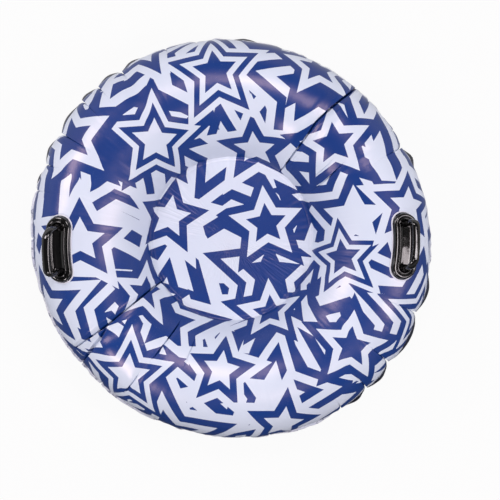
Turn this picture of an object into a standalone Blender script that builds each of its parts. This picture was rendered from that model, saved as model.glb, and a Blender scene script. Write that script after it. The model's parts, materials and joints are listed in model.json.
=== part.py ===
"""Inflatable snow tube: a ring sled of two welded vinyl sheets with two moulded handles.

Metres, +Z up.  The origin is on the ground under the middle of the tube.
The rider faces -Y, and the handles stand at -X and +X.
"""
import math

import bmesh
import bpy
import numpy as np
from mathutils import Matrix, Vector

# Fits shared by every piece
SHEET = 0.0008                # heavy vinyl sheet, 30 gauge
GAP = 0.0003                  # clearance where two pieces touch
SOFT_GAP = 0.0005             # clearance where a piece follows the curved skin

# The inflated ring
RIM_RADIUS = 0.496            # middle of the ring to the outer seam, on average
SEAT_RADIUS = 0.204           # middle of the ring to the weld round the seat
OVAL = 0.021                  # share by which the inflated outline is longer one way
OVAL_ANGLE = math.radians(136)
FLAT_DEPTH = 0.002            # how far the ground presses the underside flat
UPPER_STEPS = 84              # facets round the upper skin, the seam and the weld
LOWER_STEPS = 64              # facets round the lower skin
UPPER_WALL_STEPS = 13         # facets across the upper skin, from the weld to the seam
LOWER_WALL_STEPS = 11

# Folds that run across the upper skin, as angle, depth and half width
FOLDS = (
    (math.radians(53), 0.015, 0.022),
    (math.radians(217), 0.014, 0.022),
    (math.radians(32), 0.005, 0.018),
    (math.radians(237), 0.006, 0.018),
)
# Puckers that draw the outer seam in, as angle, depth and half width
PUCKERS = (
    (math.radians(28), 0.006, 0.022),
    (math.radians(123), 0.006, 0.022),
    (math.radians(148), 0.006, 0.020),
    (math.radians(159), 0.005, 0.020),
    (math.radians(220), 0.006, 0.026),
    (math.radians(312), 0.005, 0.022),
    (math.radians(322), 0.008, 0.022),
    (math.radians(338), 0.008, 0.022),
)

# The welds
SEAM_THICKNESS = 0.0016       # two sheets melted together
SEAM_FLANGE = 0.006           # stands out past the ring
SEAM_LAP = 0.005              # reaches in under the skin's edge
WELD_LAP = 0.004              # seat weld, out into the ring
WELD_FLANGE = 0.008           # seat weld, in under the seat

# The handles
HANDLE_INSET = 0.0730         # outer seam in to the middle of a handle
HANDLE_REACH = RIM_RADIUS - HANDLE_INSET
LEFT_FORWARD = 0.027          # how far the left handle stands in front of the middle
RIGHT_FORWARD = 0.018
LEFT_TURN = math.radians(4.1)     # the left handle's clockwise turn from its ring's tangent
RIGHT_TURN = math.radians(1.9)
HANDLE_LENGTH = 0.164
HANDLE_WIDTH = 0.065
END_STEPS = 10                # facets round each end of a handle
SIDE_STEPS = 6                # facets along each straight side of a handle
PATCH_BORDER = 0.003          # white weld patch that shows round the dish
LIP_THICKNESS = 0.0025
LIP_WIDTH = 0.0035
BEAD_HEIGHT = 0.010
BEAD_WIDTH = 0.012
FLOOR_THICKNESS = 0.0025
GRIP_SPAN = 0.118             # between the outer sides of the grip's feet
GRIP_HEIGHT = 0.056           # skin to the top of the grip
GRIP_WIDTH = 0.021
GRIP_THICKNESS = 0.013
GRIP_BEND = 0.017             # radius of the grip's upper corners, on its middle line
GRIP_SWAY = 0.010             # the soft grips lean, left one forward and right one back
LEFT_LEAN = 0.007             # and both lean outward, the left one more
RIGHT_LEAN = 0.002
GRIP_SIDES = 10

# The valve under the seat, at the back
VALVE_ANGLE = math.radians(90)
VALVE_DISTANCE = 0.078        # along the skin from the seat weld
VALVE_STEPS = 28
BORE_RADIUS = 0.013
NECK_WALL = 0.0032
NECK_DEPTH = 0.014            # reaches into the air chamber
COLLAR_RADIUS = 0.021
COLLAR_THICKNESS = 0.002
FLANGE_RADIUS = 0.030
FLANGE_THICKNESS = 0.001
COLLAR_LIFT = 0.0012          # collar over the flange, which follows the skin's saddle
LID_RADIUS = 0.019
LID_THICKNESS = 0.002
STOPPER_DEPTH = 0.0115
SPOUT_RADIUS = 0.0072
SPOUT_HEIGHT = 0.0035
PASSAGE_RADIUS = 0.004
TETHER_WIDTH = 0.009
TETHER_RING = 0.0025
PLUG_HINGE_REACH = 0.0262     # valve axis to the plug's hinge line
CAP_RADIUS = 0.0085
CAP_THICKNESS = 0.0016
CAP_STUB = 0.004
CAP_HINGE_REACH = 0.0118      # valve axis to the cap's hinge line
CAP_TETHER_WIDTH = 0.006
KNUCKLE_STEPS = 6             # facets round the end of a strap
FLAP_RADIUS = 0.0052
FLAP_THICKNESS = 0.0008
FLAP_HINGE_REACH = 0.0062     # valve axis to the flap's hinge line
CLIP_LENGTH = 0.0022
CLIP_WIDTH = 0.005
CLIP_THICKNESS = 0.0012

# Colours, as red, green and blue, with roughness
PRINT_BLUE = (0.030, 0.065, 0.262, 0.32)
UNDERSIDE = (0.010, 0.012, 0.022, 0.40)
WHITE_VINYL = (0.72, 0.75, 0.86, 0.35)
BLACK_MOULDING = (0.006, 0.006, 0.007, 0.16)
VALVE_GREY = (0.55, 0.57, 0.60, 0.38)
CLEAR_VINYL = (0.62, 0.68, 0.80, 0.25)


def clear_scene():
    """Remove what the file opened with."""
    for old in list(bpy.data.objects):
        bpy.data.objects.remove(old, do_unlink=True)


def finish_object(name, mesh, colour, sharp=40):
    """Make a named object with its own material from a mesh."""
    red, green, blue, roughness = colour
    material = bpy.data.materials.new(name + "_finish")
    material.use_nodes = True
    shader = material.node_tree.nodes["Principled BSDF"]
    shader.inputs["Base Color"].default_value = (red, green, blue, 1.0)
    shader.inputs["Roughness"].default_value = roughness
    shader.inputs["Metallic"].default_value = 0.0
    mesh.materials.append(material)
    mesh.shade_smooth()
    mesh.set_sharp_from_angle(angle=math.radians(sharp))
    piece = bpy.data.objects.new(name, mesh)
    bpy.context.scene.collection.objects.link(piece)
    return piece


def mesh_from(name, points, faces):
    """A mesh from points and faces, with its faces turned outward."""
    mesh = bpy.data.meshes.new(name)
    mesh.from_pydata([tuple(point) for point in points], [], faces)
    shape = bmesh.new()
    shape.from_mesh(mesh)
    bmesh.ops.recalc_face_normals(shape, faces=shape.faces)
    shape.to_mesh(mesh)
    shape.free()
    return mesh


def ring_faces(rings, count, closed_start=False, closed_end=False):
    """Faces that join rings of points, with a cap on either end where one is wanted."""
    faces = []
    for ring in range(rings - 1):
        for step in range(count):
            following = (step + 1) % count
            here = ring * count
            faces.append((here + step, here + following,
                          here + count + following, here + count + step))
    if closed_start:
        faces.append(tuple(reversed(range(count))))
    if closed_end:
        faces.append(tuple((rings - 1) * count + step for step in range(count)))
    return faces


# The section of the ring is the shape that air gives two flat sheets: its curvature grows
# with the distance from the middle, and it meets the outer seam upright.
def trace_wall(crest_radius, samples=600):
    """Radius, height and distance along the skin, from the outer seam to the seat weld."""
    span = RIM_RADIUS - SEAT_RADIUS
    stiffness = RIM_RADIUS ** 2 - crest_radius ** 2
    step = np.linspace(0.0, 1.0, samples)
    radius = RIM_RADIUS - span * step ** 2
    slope = (crest_radius ** 2 - radius ** 2) / stiffness
    length_rate = 2 * span / np.sqrt(span * (RIM_RADIUS + radius) * (1 - slope) / stiffness)
    height_rate = -slope * length_rate

    def add_up(rate):
        return np.concatenate([[0.0], np.cumsum((rate[1:] + rate[:-1]) / 2 * np.diff(step))])

    return radius, add_up(height_rate), add_up(length_rate)


def find_crest():
    """The crest's radius that brings the skin back to the height of the seam at the weld."""
    low = SEAT_RADIUS
    high = math.sqrt((RIM_RADIUS ** 2 + SEAT_RADIUS ** 2) / 2) - 1e-6
    for _ in range(50):
        middle = (low + high) / 2
        if trace_wall(middle)[1][-1] > 0:
            low = middle
        else:
            high = middle
    return middle


CREST_RADIUS = find_crest()
WALL_RADII, WALL_HEIGHTS, SEAM_DISTANCES = trace_wall(CREST_RADIUS)
WALL_LENGTH = SEAM_DISTANCES[-1]
CREST_HEIGHT = max(WALL_HEIGHTS)
SEAM_HEIGHT = CREST_HEIGHT - FLAT_DEPTH       # the welds' height over the ground
WELD_SLOPE = math.asin((CREST_RADIUS ** 2 - SEAT_RADIUS ** 2)
                       / (RIM_RADIUS ** 2 - CREST_RADIUS ** 2))
EDGE_LIFT = SEAM_THICKNESS / 2 + GAP          # a skin's edge over the middle of its weld


def wall_at(distance):
    """Radius and height of the skin at a distance from the seat weld."""
    back = WALL_LENGTH - distance
    radius = np.interp(back, SEAM_DISTANCES, WALL_RADII)
    height = np.interp(back, SEAM_DISTANCES, WALL_HEIGHTS)
    return float(radius), float(height)


def distance_at_height(height, outer):
    """Distance from the seat weld where the skin has a height, on its outer or inner side."""
    top = int(np.argmax(WALL_HEIGHTS))
    if outer:
        back = np.interp(height, WALL_HEIGHTS[:top], SEAM_DISTANCES[:top])
    else:
        back = np.interp(-height, -WALL_HEIGHTS[top:], SEAM_DISTANCES[top:])
    return float(WALL_LENGTH - back)


def angle_between(first, second):
    """Smallest angle between two directions."""
    return abs((first - second + math.pi) % (2 * math.pi) - math.pi)


def drawn_in(features, angle, radius):
    """Summed depth of folds or puckers at one place."""
    depth = 0.0
    for centre, deepest, half_width in features:
        away = angle_between(angle, centre) * radius / half_width
        depth += deepest * math.exp(-away ** 2)
    return depth


def rim_reach(angle):
    """Distance from the middle to the outer seam in one direction."""
    oval = 1 + OVAL * math.cos(2 * (angle - OVAL_ANGLE))
    return RIM_RADIUS * oval - drawn_in(PUCKERS, angle, RIM_RADIUS)


def skin_point(distance, angle, lower=False):
    """A point on the outside of the upper or the lower skin."""
    radius, height = wall_at(distance)
    stretch = (rim_reach(angle) - SEAT_RADIUS) / (RIM_RADIUS - SEAT_RADIUS)
    reach = SEAT_RADIUS + (radius - SEAT_RADIUS) * stretch
    if lower:
        rise = -min(height, SEAM_HEIGHT)
    else:
        rise = height * (1 - drawn_in(FOLDS, angle, radius) / CREST_HEIGHT)
    return Vector((reach * math.cos(angle), reach * math.sin(angle), SEAM_HEIGHT + rise))


def skin_normal(distance, angle, lower=False):
    """The direction straight out of a skin."""
    nudge = 0.001
    across = (skin_point(distance + nudge, angle, lower)
              - skin_point(distance - nudge, angle, lower))
    around = (skin_point(distance, angle + nudge, lower)
              - skin_point(distance, angle - nudge, lower))
    normal = around.cross(across).normalized()
    return normal if (normal.z > 0) != lower else -normal


def solidify(piece, thickness):
    """Give an open sheet its thickness, behind its outer face."""
    modifier = piece.modifiers.new("sheet thickness", "SOLIDIFY")
    modifier.thickness = thickness
    modifier.offset = -1.0
    modifier.use_even_offset = True
    return modifier


def build_skin(name, lower, steps, wall_steps, colour):
    """One half of the air ring, from the seat weld to the outer seam."""
    first = distance_at_height(EDGE_LIFT + SHEET * math.cos(WELD_SLOPE), outer=False)
    last = distance_at_height(EDGE_LIFT, outer=True)
    if lower:
        flat_start = distance_at_height(SEAM_HEIGHT, outer=False)
        flat_end = distance_at_height(SEAM_HEIGHT, outer=True)
        inner = np.linspace(first, flat_start, wall_steps // 2)
        outer = np.linspace(flat_end, last, wall_steps - wall_steps // 2 + 1)
        distances = np.concatenate([inner, outer])
    else:
        distances = np.linspace(first, last, wall_steps + 1)
    points = []
    for distance in distances:
        for step in range(steps):
            points.append(skin_point(distance, 2 * math.pi * step / steps, lower))
    faces = ring_faces(len(distances), steps)
    mesh = bpy.data.meshes.new(name)
    mesh.from_pydata([tuple(point) for point in points], [], faces)
    wanted = -1 if lower else 1
    if mesh.polygons[len(mesh.polygons) // 2].normal.z * wanted < 0:
        mesh.flip_normals()
    piece = finish_object(name, mesh, colour)
    solidify(piece, SHEET)
    return piece


def build_flat_ring(name, inner_edge, outer_edge, thickness, colour):
    """A flat welded band whose edges are functions of the angle."""
    points = []
    for edge, side in ((inner_edge, -1), (outer_edge, -1), (outer_edge, 1), (inner_edge, 1)):
        for step in range(UPPER_STEPS):
            angle = 2 * math.pi * step / UPPER_STEPS
            reach = edge(angle)
            points.append((reach * math.cos(angle), reach * math.sin(angle),
                           SEAM_HEIGHT + side * thickness / 2))
    faces = ring_faces(4, UPPER_STEPS)
    last = 3 * UPPER_STEPS
    for step in range(UPPER_STEPS):
        following = (step + 1) % UPPER_STEPS
        faces.append((last + step, last + following, following, step))
    return finish_object(name, mesh_from(name, points, faces), colour)


def build_seat_sheet(name, side, colour):
    """The round sheet that the rider sits on, or the one under it."""
    radius = SEAT_RADIUS - SOFT_GAP
    near = SEAM_HEIGHT + side * EDGE_LIFT
    far = near + side * SHEET
    points = []
    for height in (near, far):
        for step in range(UPPER_STEPS):
            angle = 2 * math.pi * step / UPPER_STEPS
            points.append((radius * math.cos(angle), radius * math.sin(angle), height))
    faces = ring_faces(2, UPPER_STEPS, closed_start=True, closed_end=True)
    return finish_object(name, mesh_from(name, points, faces), colour)


def build_ring():
    """The air ring, its welds and the seat."""
    build_skin("upper_skin", False, UPPER_STEPS, UPPER_WALL_STEPS, PRINT_BLUE)
    lower_skin = build_skin("lower_skin", True, LOWER_STEPS, LOWER_WALL_STEPS, UNDERSIDE)
    build_flat_ring("outer_seam", lambda angle: rim_reach(angle) - SEAM_LAP,
                    lambda angle: rim_reach(angle) + SEAM_FLANGE, SEAM_THICKNESS, UNDERSIDE)
    build_flat_ring("seat_weld", lambda angle: SEAT_RADIUS - WELD_FLANGE,
                    lambda angle: SEAT_RADIUS + WELD_LAP, SEAM_THICKNESS, CLEAR_VINYL)
    build_seat_sheet("seat_top_sheet", 1, PRINT_BLUE)
    build_seat_sheet("seat_bottom_sheet", -1, UNDERSIDE)
    return lower_skin


def handle_place(forward):
    """Distance from the seat weld and angle from the X axis of a handle's middle."""
    reach = math.hypot(HANDLE_REACH, forward)
    angle = math.atan2(forward, HANDLE_REACH)
    low, high = 0.0, WALL_LENGTH
    for _ in range(40):
        middle = (low + high) / 2
        if wall_at(middle)[0] < reach:
            low = middle
        else:
            high = middle
    return middle, angle


LEFT_HANDLE = (*handle_place(LEFT_FORWARD), LEFT_TURN)
RIGHT_HANDLE = (*handle_place(RIGHT_FORWARD), RIGHT_TURN)


def on_handle(side, along, outward, lift):
    """A point near a handle: along it, outward over the skin, and up from the skin."""
    distance, middle, tilt = RIGHT_HANDLE if side > 0 else LEFT_HANDLE
    distance += outward * math.cos(tilt) + side * along * math.sin(tilt)
    along = along * math.cos(tilt) - side * outward * math.sin(tilt)
    turn = math.asin(along / wall_at(distance)[0])
    angle = turn - middle if side > 0 else math.pi + middle - turn
    return skin_point(distance, angle) + skin_normal(distance, angle) * lift


def across_handle(side, along):
    """The direction straight outward over the skin at a place along a handle."""
    nudge = 0.001
    ahead = on_handle(side, along, nudge, 0.0)
    return (ahead - on_handle(side, along, -nudge, 0.0)).normalized()


def stadium(half_length, half_width):
    """Points round an outline with two straight sides and two round ends."""
    straight = half_length - half_width
    outline = []
    for end in (1, -1):
        for step in range(END_STEPS + 1):
            turn = math.pi * step / END_STEPS
            outline.append((end * (straight + half_width * math.sin(turn)),
                            end * half_width * math.cos(turn)))
        for step in range(1, SIDE_STEPS):
            outline.append((end * straight * (1 - 2 * step / SIDE_STEPS), -end * half_width))
    return outline


OUTLINE_STEPS = 2 * (END_STEPS + SIDE_STEPS)


def across_stadium(first):
    """Faces that close a stadium outline with short strips from side to side."""
    faces = []
    middle = END_STEPS // 2
    for step in range(middle, middle + OUTLINE_STEPS // 2):
        corners = [step, step + 1, END_STEPS - step - 1, END_STEPS - step]
        corners = [first + corner % OUTLINE_STEPS for corner in corners]
        faces.append([corner for index, corner in enumerate(corners)
                      if corner not in corners[:index]])
    return faces


def build_patch(side, name):
    """The thin white patch that is welded to the skin under a handle."""
    inset = HANDLE_WIDTH / 2 + PATCH_BORDER
    lift = SOFT_GAP + SHEET
    points = []
    insets = (0.0, 0.35 * inset, 0.7 * inset, 0.95 * inset)
    for inward in insets:
        outline = stadium(HANDLE_LENGTH / 2 + PATCH_BORDER - inward, inset - inward)
        for along, outward in outline:
            points.append(on_handle(side, along, outward, lift))
    faces = ring_faces(len(insets), OUTLINE_STEPS)
    faces += across_stadium((len(insets) - 1) * OUTLINE_STEPS)
    mesh = mesh_from(name, points, faces)
    if mesh.polygons[0].normal.z < 0:
        mesh.flip_normals()
    piece = finish_object(name, mesh, WHITE_VINYL)
    solidify(piece, SHEET)


PATCH_TOP = SOFT_GAP + SHEET
DISH_BOTTOM = PATCH_TOP + SOFT_GAP
DISH_FLOOR = DISH_BOTTOM + FLOOR_THICKNESS


def build_dish(side, name):
    """The black oval dish: a lip, a rounded bead and a sunken floor."""
    crown = DISH_BOTTOM + BEAD_HEIGHT
    lip = DISH_BOTTOM + LIP_THICKNESS
    bead_start = LIP_WIDTH
    bead_end = LIP_WIDTH + BEAD_WIDTH
    rings = [(0.0, lip), (bead_start, lip)]
    for share in (0.14, 0.5, 0.86):
        height = lip + (crown - lip) * math.sin(math.pi * share)
        rings.append((bead_start + BEAD_WIDTH * share, height))
    rings.append((bead_end, DISH_FLOOR))
    middle = HANDLE_WIDTH / 2
    rings.append(((bead_end + middle) / 2, DISH_FLOOR))
    rings.append((0.93 * middle, DISH_FLOOR))
    underside = [(0.0, DISH_BOTTOM), (middle / 3, DISH_BOTTOM), (2 * middle / 3, DISH_BOTTOM),
                 (0.93 * middle, DISH_BOTTOM)]
    points = []
    for inward, lift in list(reversed(underside)) + rings:
        for along, outward in stadium(HANDLE_LENGTH / 2 - inward, middle - inward):
            points.append(on_handle(side, along, outward, lift))
    last_ring = (len(underside) + len(rings) - 1) * OUTLINE_STEPS
    faces = ring_faces(len(underside) + len(rings), OUTLINE_STEPS)
    faces += across_stadium(0) + across_stadium(last_ring)
    finish_object(name, mesh_from(name, points, faces), BLACK_MOULDING)


def grip_route():
    """Middle line of a grip as (along, lift) and its direction, foot to foot."""
    foot = GRIP_SPAN / 2 - GRIP_THICKNESS / 2
    top = GRIP_HEIGHT - GRIP_THICKNESS / 2
    base = DISH_FLOOR + SOFT_GAP
    shoulder = top - GRIP_BEND
    route = [(-foot, base, math.pi / 2), (-foot, (base + shoulder) / 2, math.pi / 2)]
    for step in range(5):
        turn = math.pi / 2 * step / 4
        route.append((-foot + GRIP_BEND * (1 - math.cos(turn)),
                      shoulder + GRIP_BEND * math.sin(turn), math.pi / 2 - turn))
    mirrored = [(-along, lift, -heading) for along, lift, heading in reversed(route)]
    return route + mirrored


def build_grip(side, name):
    """The arched bar that the rider holds, with a flattened oval section."""
    top = GRIP_HEIGHT - GRIP_THICKNESS / 2
    base = DISH_FLOOR + SOFT_GAP
    points = []
    route = grip_route()
    for along, lift, heading in route:
        bent = ((lift - base) / (top - base)) ** 2
        sway = side * GRIP_SWAY * bent
        lean = (RIGHT_LEAN if side > 0 else LEFT_LEAN) * bent
        across = across_handle(side, along + sway)
        for step in range(GRIP_SIDES):
            turn = 2 * math.pi * step / GRIP_SIDES
            outward = GRIP_WIDTH / 2 * math.cos(turn) + lean
            depth = GRIP_THICKNESS / 2 * math.sin(turn)
            points.append(on_handle(side, along + sway - depth * math.sin(heading), 0.0,
                                    lift + depth * math.cos(heading)) + across * outward)
    faces = ring_faces(len(route), GRIP_SIDES, closed_start=True, closed_end=True)
    finish_object(name, mesh_from(name, points, faces), BLACK_MOULDING)


def build_handles():
    """A patch, a dish and a grip on each side."""
    for side, word in ((-1, "left"), (1, "right")):
        build_patch(side, word + "_handle_patch")
        build_dish(side, word + "_handle_dish")
        build_grip(side, word + "_handle_grip")


def lathe(name, profile, steps=VALVE_STEPS):
    """Turn a closed profile of (radius, height) points round the Z axis."""
    points = []
    rows = []
    for radius, height in profile:
        if radius == 0:
            rows.append([len(points)] * steps)
            points.append((0.0, 0.0, height))
        else:
            rows.append(list(range(len(points), len(points) + steps)))
            for step in range(steps):
                angle = 2 * math.pi * step / steps
                points.append((radius * math.cos(angle), radius * math.sin(angle), height))
    if profile[0][0] > 0:
        rows.append(rows[0])
    faces = []
    for row, following in zip(rows, rows[1:]):
        for step in range(steps):
            after = (step + 1) % steps
            corners = [row[step], row[after], following[after], following[step]]
            face = [corner for index, corner in enumerate(corners)
                    if corner not in corners[:index]]
            if len(face) > 2:
                faces.append(face)
    return mesh_from(name, points, faces)


def box_mesh(name, low, high):
    """A block between two corners."""
    mesh = bpy.data.meshes.new(name)
    shape = bmesh.new()
    bmesh.ops.create_cube(shape, size=1.0)
    shape.to_mesh(mesh)
    shape.free()
    size = Vector(high) - Vector(low)
    middle = (Vector(high) + Vector(low)) / 2
    mesh.transform(Matrix.Translation(middle) @ Matrix.Diagonal((*size, 1.0)))
    return mesh


def strap_mesh(name, start, hinge_reach, height, width, thickness):
    """A flat strap along X that ends in a round knuckle on its hinge line."""
    half = thickness / 2
    outline = [(start, height - half)]
    for step in range(KNUCKLE_STEPS + 1):
        turn = math.pi * (step / KNUCKLE_STEPS - 0.5)
        outline.append((hinge_reach + math.copysign(half, hinge_reach) * math.cos(turn),
                        height + half * math.sin(turn)))
    outline.append((start, height + half))
    points = [(along, side * width / 2, rise) for side in (-1, 1) for along, rise in outline]
    faces = ring_faces(2, len(outline), closed_start=True, closed_end=True)
    return mesh_from(name, points, faces)


def helper_object(name, mesh, frame):
    """A hidden shape that another piece is joined with or cut by."""
    helper = bpy.data.objects.new(name, mesh)
    bpy.context.scene.collection.objects.link(helper)
    helper.matrix_world = frame
    helper.hide_render = True
    helper.display_type = "WIRE"
    return helper


def combine(piece, helper, operation):
    """Join a helper shape to a piece, or cut it away."""
    modifier = piece.modifiers.new(operation.lower() + " " + helper.name, "BOOLEAN")
    modifier.operation = operation
    modifier.solver = "EXACT"
    modifier.object = helper


def valve_frame():
    """The valve's own axes: X along the ring, Z out of the skin, down and inward."""
    origin = skin_point(VALVE_DISTANCE, VALVE_ANGLE, lower=True)
    out = skin_normal(VALVE_DISTANCE, VALVE_ANGLE, lower=True)
    around = Vector((-math.sin(VALVE_ANGLE), math.cos(VALVE_ANGLE), 0.0))
    across = out.cross(around).normalized()
    frame = Matrix((around, across, out)).transposed().to_4x4()
    frame.translation = origin
    return frame


# Heights of the valve's pieces over the skin
FLANGE_TOP = SOFT_GAP + FLANGE_THICKNESS
COLLAR_BOTTOM = FLANGE_TOP + COLLAR_LIFT
COLLAR_TOP = COLLAR_BOTTOM + COLLAR_THICKNESS
LID_BOTTOM = COLLAR_TOP + GAP
LID_TOP = LID_BOTTOM + LID_THICKNESS
SPOUT_TOP = LID_TOP + SPOUT_HEIGHT
CAP_BOTTOM = SPOUT_TOP + GAP
CAP_TOP = CAP_BOTTOM + CAP_THICKNESS
STOPPER_BOTTOM = LID_BOTTOM - STOPPER_DEPTH
PLUG_HINGE_HEIGHT = (LID_BOTTOM + LID_TOP) / 2
CAP_HINGE_HEIGHT = (CAP_BOTTOM + CAP_TOP) / 2
FLAP_TOP = STOPPER_BOTTOM - GAP
FLAP_HINGE_HEIGHT = FLAP_TOP - FLAP_THICKNESS / 2


def swinging_radius(hinge_reach, hole_radius, depth):
    """Largest radius at a depth under the hinge that still swings out of a round hole."""
    far_side = hinge_reach + hole_radius - GAP
    return math.sqrt(far_side ** 2 - depth ** 2) - hinge_reach


def build_valve_flange(frame):
    """The round flange that is welded to the skin and follows its curve."""
    hole = BORE_RADIUS + NECK_WALL + GAP
    radii = (hole, (hole + FLANGE_RADIUS) / 2, FLANGE_RADIUS)
    radius = wall_at(VALVE_DISTANCE)[0]
    points = []
    for ring in radii:
        for step in range(VALVE_STEPS):
            turn = 2 * math.pi * step / VALVE_STEPS
            distance = VALVE_DISTANCE + ring * math.sin(turn)
            angle = VALVE_ANGLE + ring * math.cos(turn) / radius
            normal = skin_normal(distance, angle, lower=True)
            points.append(skin_point(distance, angle, lower=True) + normal * FLANGE_TOP)
    mesh = bpy.data.meshes.new("valve_flange")
    mesh.from_pydata([tuple(point) for point in points], [],
                     ring_faces(len(radii), VALVE_STEPS))
    if mesh.polygons[0].normal.dot(frame.col[2].to_3d()) < 0:
        mesh.flip_normals()
    piece = finish_object("valve_flange", mesh, CLEAR_VINYL)
    solidify(piece, FLANGE_THICKNESS)


def build_valve_neck(frame, lower_skin):
    """The neck that stands in the skin's hole, with its outer collar."""
    outside = BORE_RADIUS + NECK_WALL
    profile = [(BORE_RADIUS, -NECK_DEPTH), (outside, -NECK_DEPTH), (outside, COLLAR_BOTTOM),
               (COLLAR_RADIUS, COLLAR_BOTTOM), (COLLAR_RADIUS, COLLAR_TOP),
               (BORE_RADIUS, COLLAR_TOP)]
    piece = finish_object("valve_neck", lathe("valve_neck", profile), VALVE_GREY)
    piece.matrix_world = frame
    cutter_radius = outside + GAP
    cutter = lathe("skin_hole", [(0.0, -NECK_DEPTH), (cutter_radius, -NECK_DEPTH),
                                 (cutter_radius, NECK_DEPTH), (0.0, NECK_DEPTH)])
    combine(lower_skin, helper_object("skin_hole", cutter, frame), "DIFFERENCE")


def build_plug_tether(frame):
    """The ring round the neck's collar that holds the plug's strap."""
    inner = COLLAR_RADIUS + GAP
    outer = inner + TETHER_RING
    profile = [(inner, COLLAR_BOTTOM), (outer, COLLAR_BOTTOM), (outer, COLLAR_TOP),
               (inner, COLLAR_TOP)]
    piece = finish_object("plug_tether_ring", lathe("plug_tether_ring", profile), VALVE_GREY)
    piece.matrix_world = frame
    root = box_mesh("tether_root", (inner + TETHER_RING / 2, -TETHER_WIDTH / 2, COLLAR_BOTTOM),
                    (PLUG_HINGE_REACH + COLLAR_THICKNESS, TETHER_WIDTH / 2, COLLAR_TOP))
    combine(piece, helper_object("tether_root", root, frame), "UNION")


def build_plug(frame, hinge):
    """The wide deflation plug: lid, tapered stopper, spout and strap in one moulding."""
    bottom_radius = swinging_radius(PLUG_HINGE_REACH, BORE_RADIUS,
                                    PLUG_HINGE_HEIGHT - STOPPER_BOTTOM)
    top_radius = BORE_RADIUS - GAP
    profile = [(PASSAGE_RADIUS, STOPPER_BOTTOM), (bottom_radius, STOPPER_BOTTOM),
               (top_radius, LID_BOTTOM), (LID_RADIUS, LID_BOTTOM), (LID_RADIUS, LID_TOP),
               (SPOUT_RADIUS, LID_TOP), (SPOUT_RADIUS, SPOUT_TOP), (PASSAGE_RADIUS, SPOUT_TOP)]
    to_hinge = Matrix.Translation((-PLUG_HINGE_REACH, 0.0, -PLUG_HINGE_HEIGHT))
    mesh = lathe("deflation_plug", profile)
    mesh.transform(to_hinge)
    piece = finish_object("deflation_plug", mesh, VALVE_GREY)
    piece.parent = hinge
    strap = strap_mesh("plug_strap", LID_RADIUS - TETHER_RING, PLUG_HINGE_REACH,
                       PLUG_HINGE_HEIGHT, TETHER_WIDTH, LID_THICKNESS)
    combine(piece, helper_object("plug_strap", strap, frame), "UNION")
    post = box_mesh("cap_post", (-CAP_HINGE_REACH - CAP_THICKNESS, -CAP_TETHER_WIDTH / 2,
                                 PLUG_HINGE_HEIGHT),
                    (-CAP_HINGE_REACH + CAP_THICKNESS / 2, CAP_TETHER_WIDTH / 2,
                     CAP_BOTTOM - GAP))
    combine(piece, helper_object("cap_post", post, frame), "UNION")


def build_cap(frame, hinge):
    """The small inflation cap with its stub and strap."""
    stub_radius = PASSAGE_RADIUS - GAP
    tip_radius = swinging_radius(CAP_HINGE_REACH, PASSAGE_RADIUS,
                                 CAP_HINGE_HEIGHT - CAP_BOTTOM + CAP_STUB)
    profile = [(0.0, CAP_BOTTOM - CAP_STUB), (tip_radius, CAP_BOTTOM - CAP_STUB),
               (stub_radius, CAP_BOTTOM), (CAP_RADIUS, CAP_BOTTOM), (CAP_RADIUS, CAP_TOP),
               (0.0, CAP_TOP)]
    mesh = lathe("inflation_cap", profile)
    mesh.transform(Matrix.Translation((CAP_HINGE_REACH, 0.0, -CAP_HINGE_HEIGHT)))
    piece = finish_object("inflation_cap", mesh, VALVE_GREY)
    piece.parent = hinge
    strap = strap_mesh("cap_strap", CAP_THICKNESS - CAP_RADIUS, -CAP_HINGE_REACH,
                       CAP_HINGE_HEIGHT, CAP_TETHER_WIDTH, CAP_THICKNESS)
    combine(piece, helper_object("cap_strap", strap, frame), "UNION")


def build_flap(frame, hinge, plug_hinge):
    """The one-way flap under the plug's passage, and the clip that holds its tail."""
    profile = [(0.0, FLAP_TOP - FLAP_THICKNESS), (FLAP_RADIUS, FLAP_TOP - FLAP_THICKNESS),
               (FLAP_RADIUS, FLAP_TOP), (0.0, FLAP_TOP)]
    mesh = lathe("check_flap", profile)
    mesh.transform(Matrix.Translation((0.0, -FLAP_HINGE_REACH, -FLAP_HINGE_HEIGHT)))
    piece = finish_object("check_flap", mesh, CLEAR_VINYL)
    piece.parent = hinge
    tab = box_mesh("flap_tab", (-CLIP_WIDTH / 4, 0.0, FLAP_TOP - FLAP_THICKNESS),
                   (CLIP_WIDTH / 4, FLAP_HINGE_REACH, FLAP_TOP))
    combine(piece, helper_object("flap_tab", tab, frame), "UNION")
    start = FLAP_HINGE_REACH + GAP + FLAP_THICKNESS / 2
    clip = box_mesh("flap_clip", (-CLIP_WIDTH / 2, start, FLAP_TOP - CLIP_THICKNESS),
                    (CLIP_WIDTH / 2, start + CLIP_LENGTH, FLAP_TOP))
    clip.transform(Matrix.Translation((-PLUG_HINGE_REACH, 0.0, -PLUG_HINGE_HEIGHT)))
    finish_object("flap_clip", clip, VALVE_GREY).parent = plug_hinge


def hinge_empty(name, parent, place):
    """An empty on a joint's axis, placed in its parent's axes."""
    hinge = bpy.data.objects.new(name, None)
    bpy.context.scene.collection.objects.link(hinge)
    hinge.empty_display_size = LID_RADIUS
    hinge.parent = parent
    hinge.location = place
    return hinge


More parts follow.
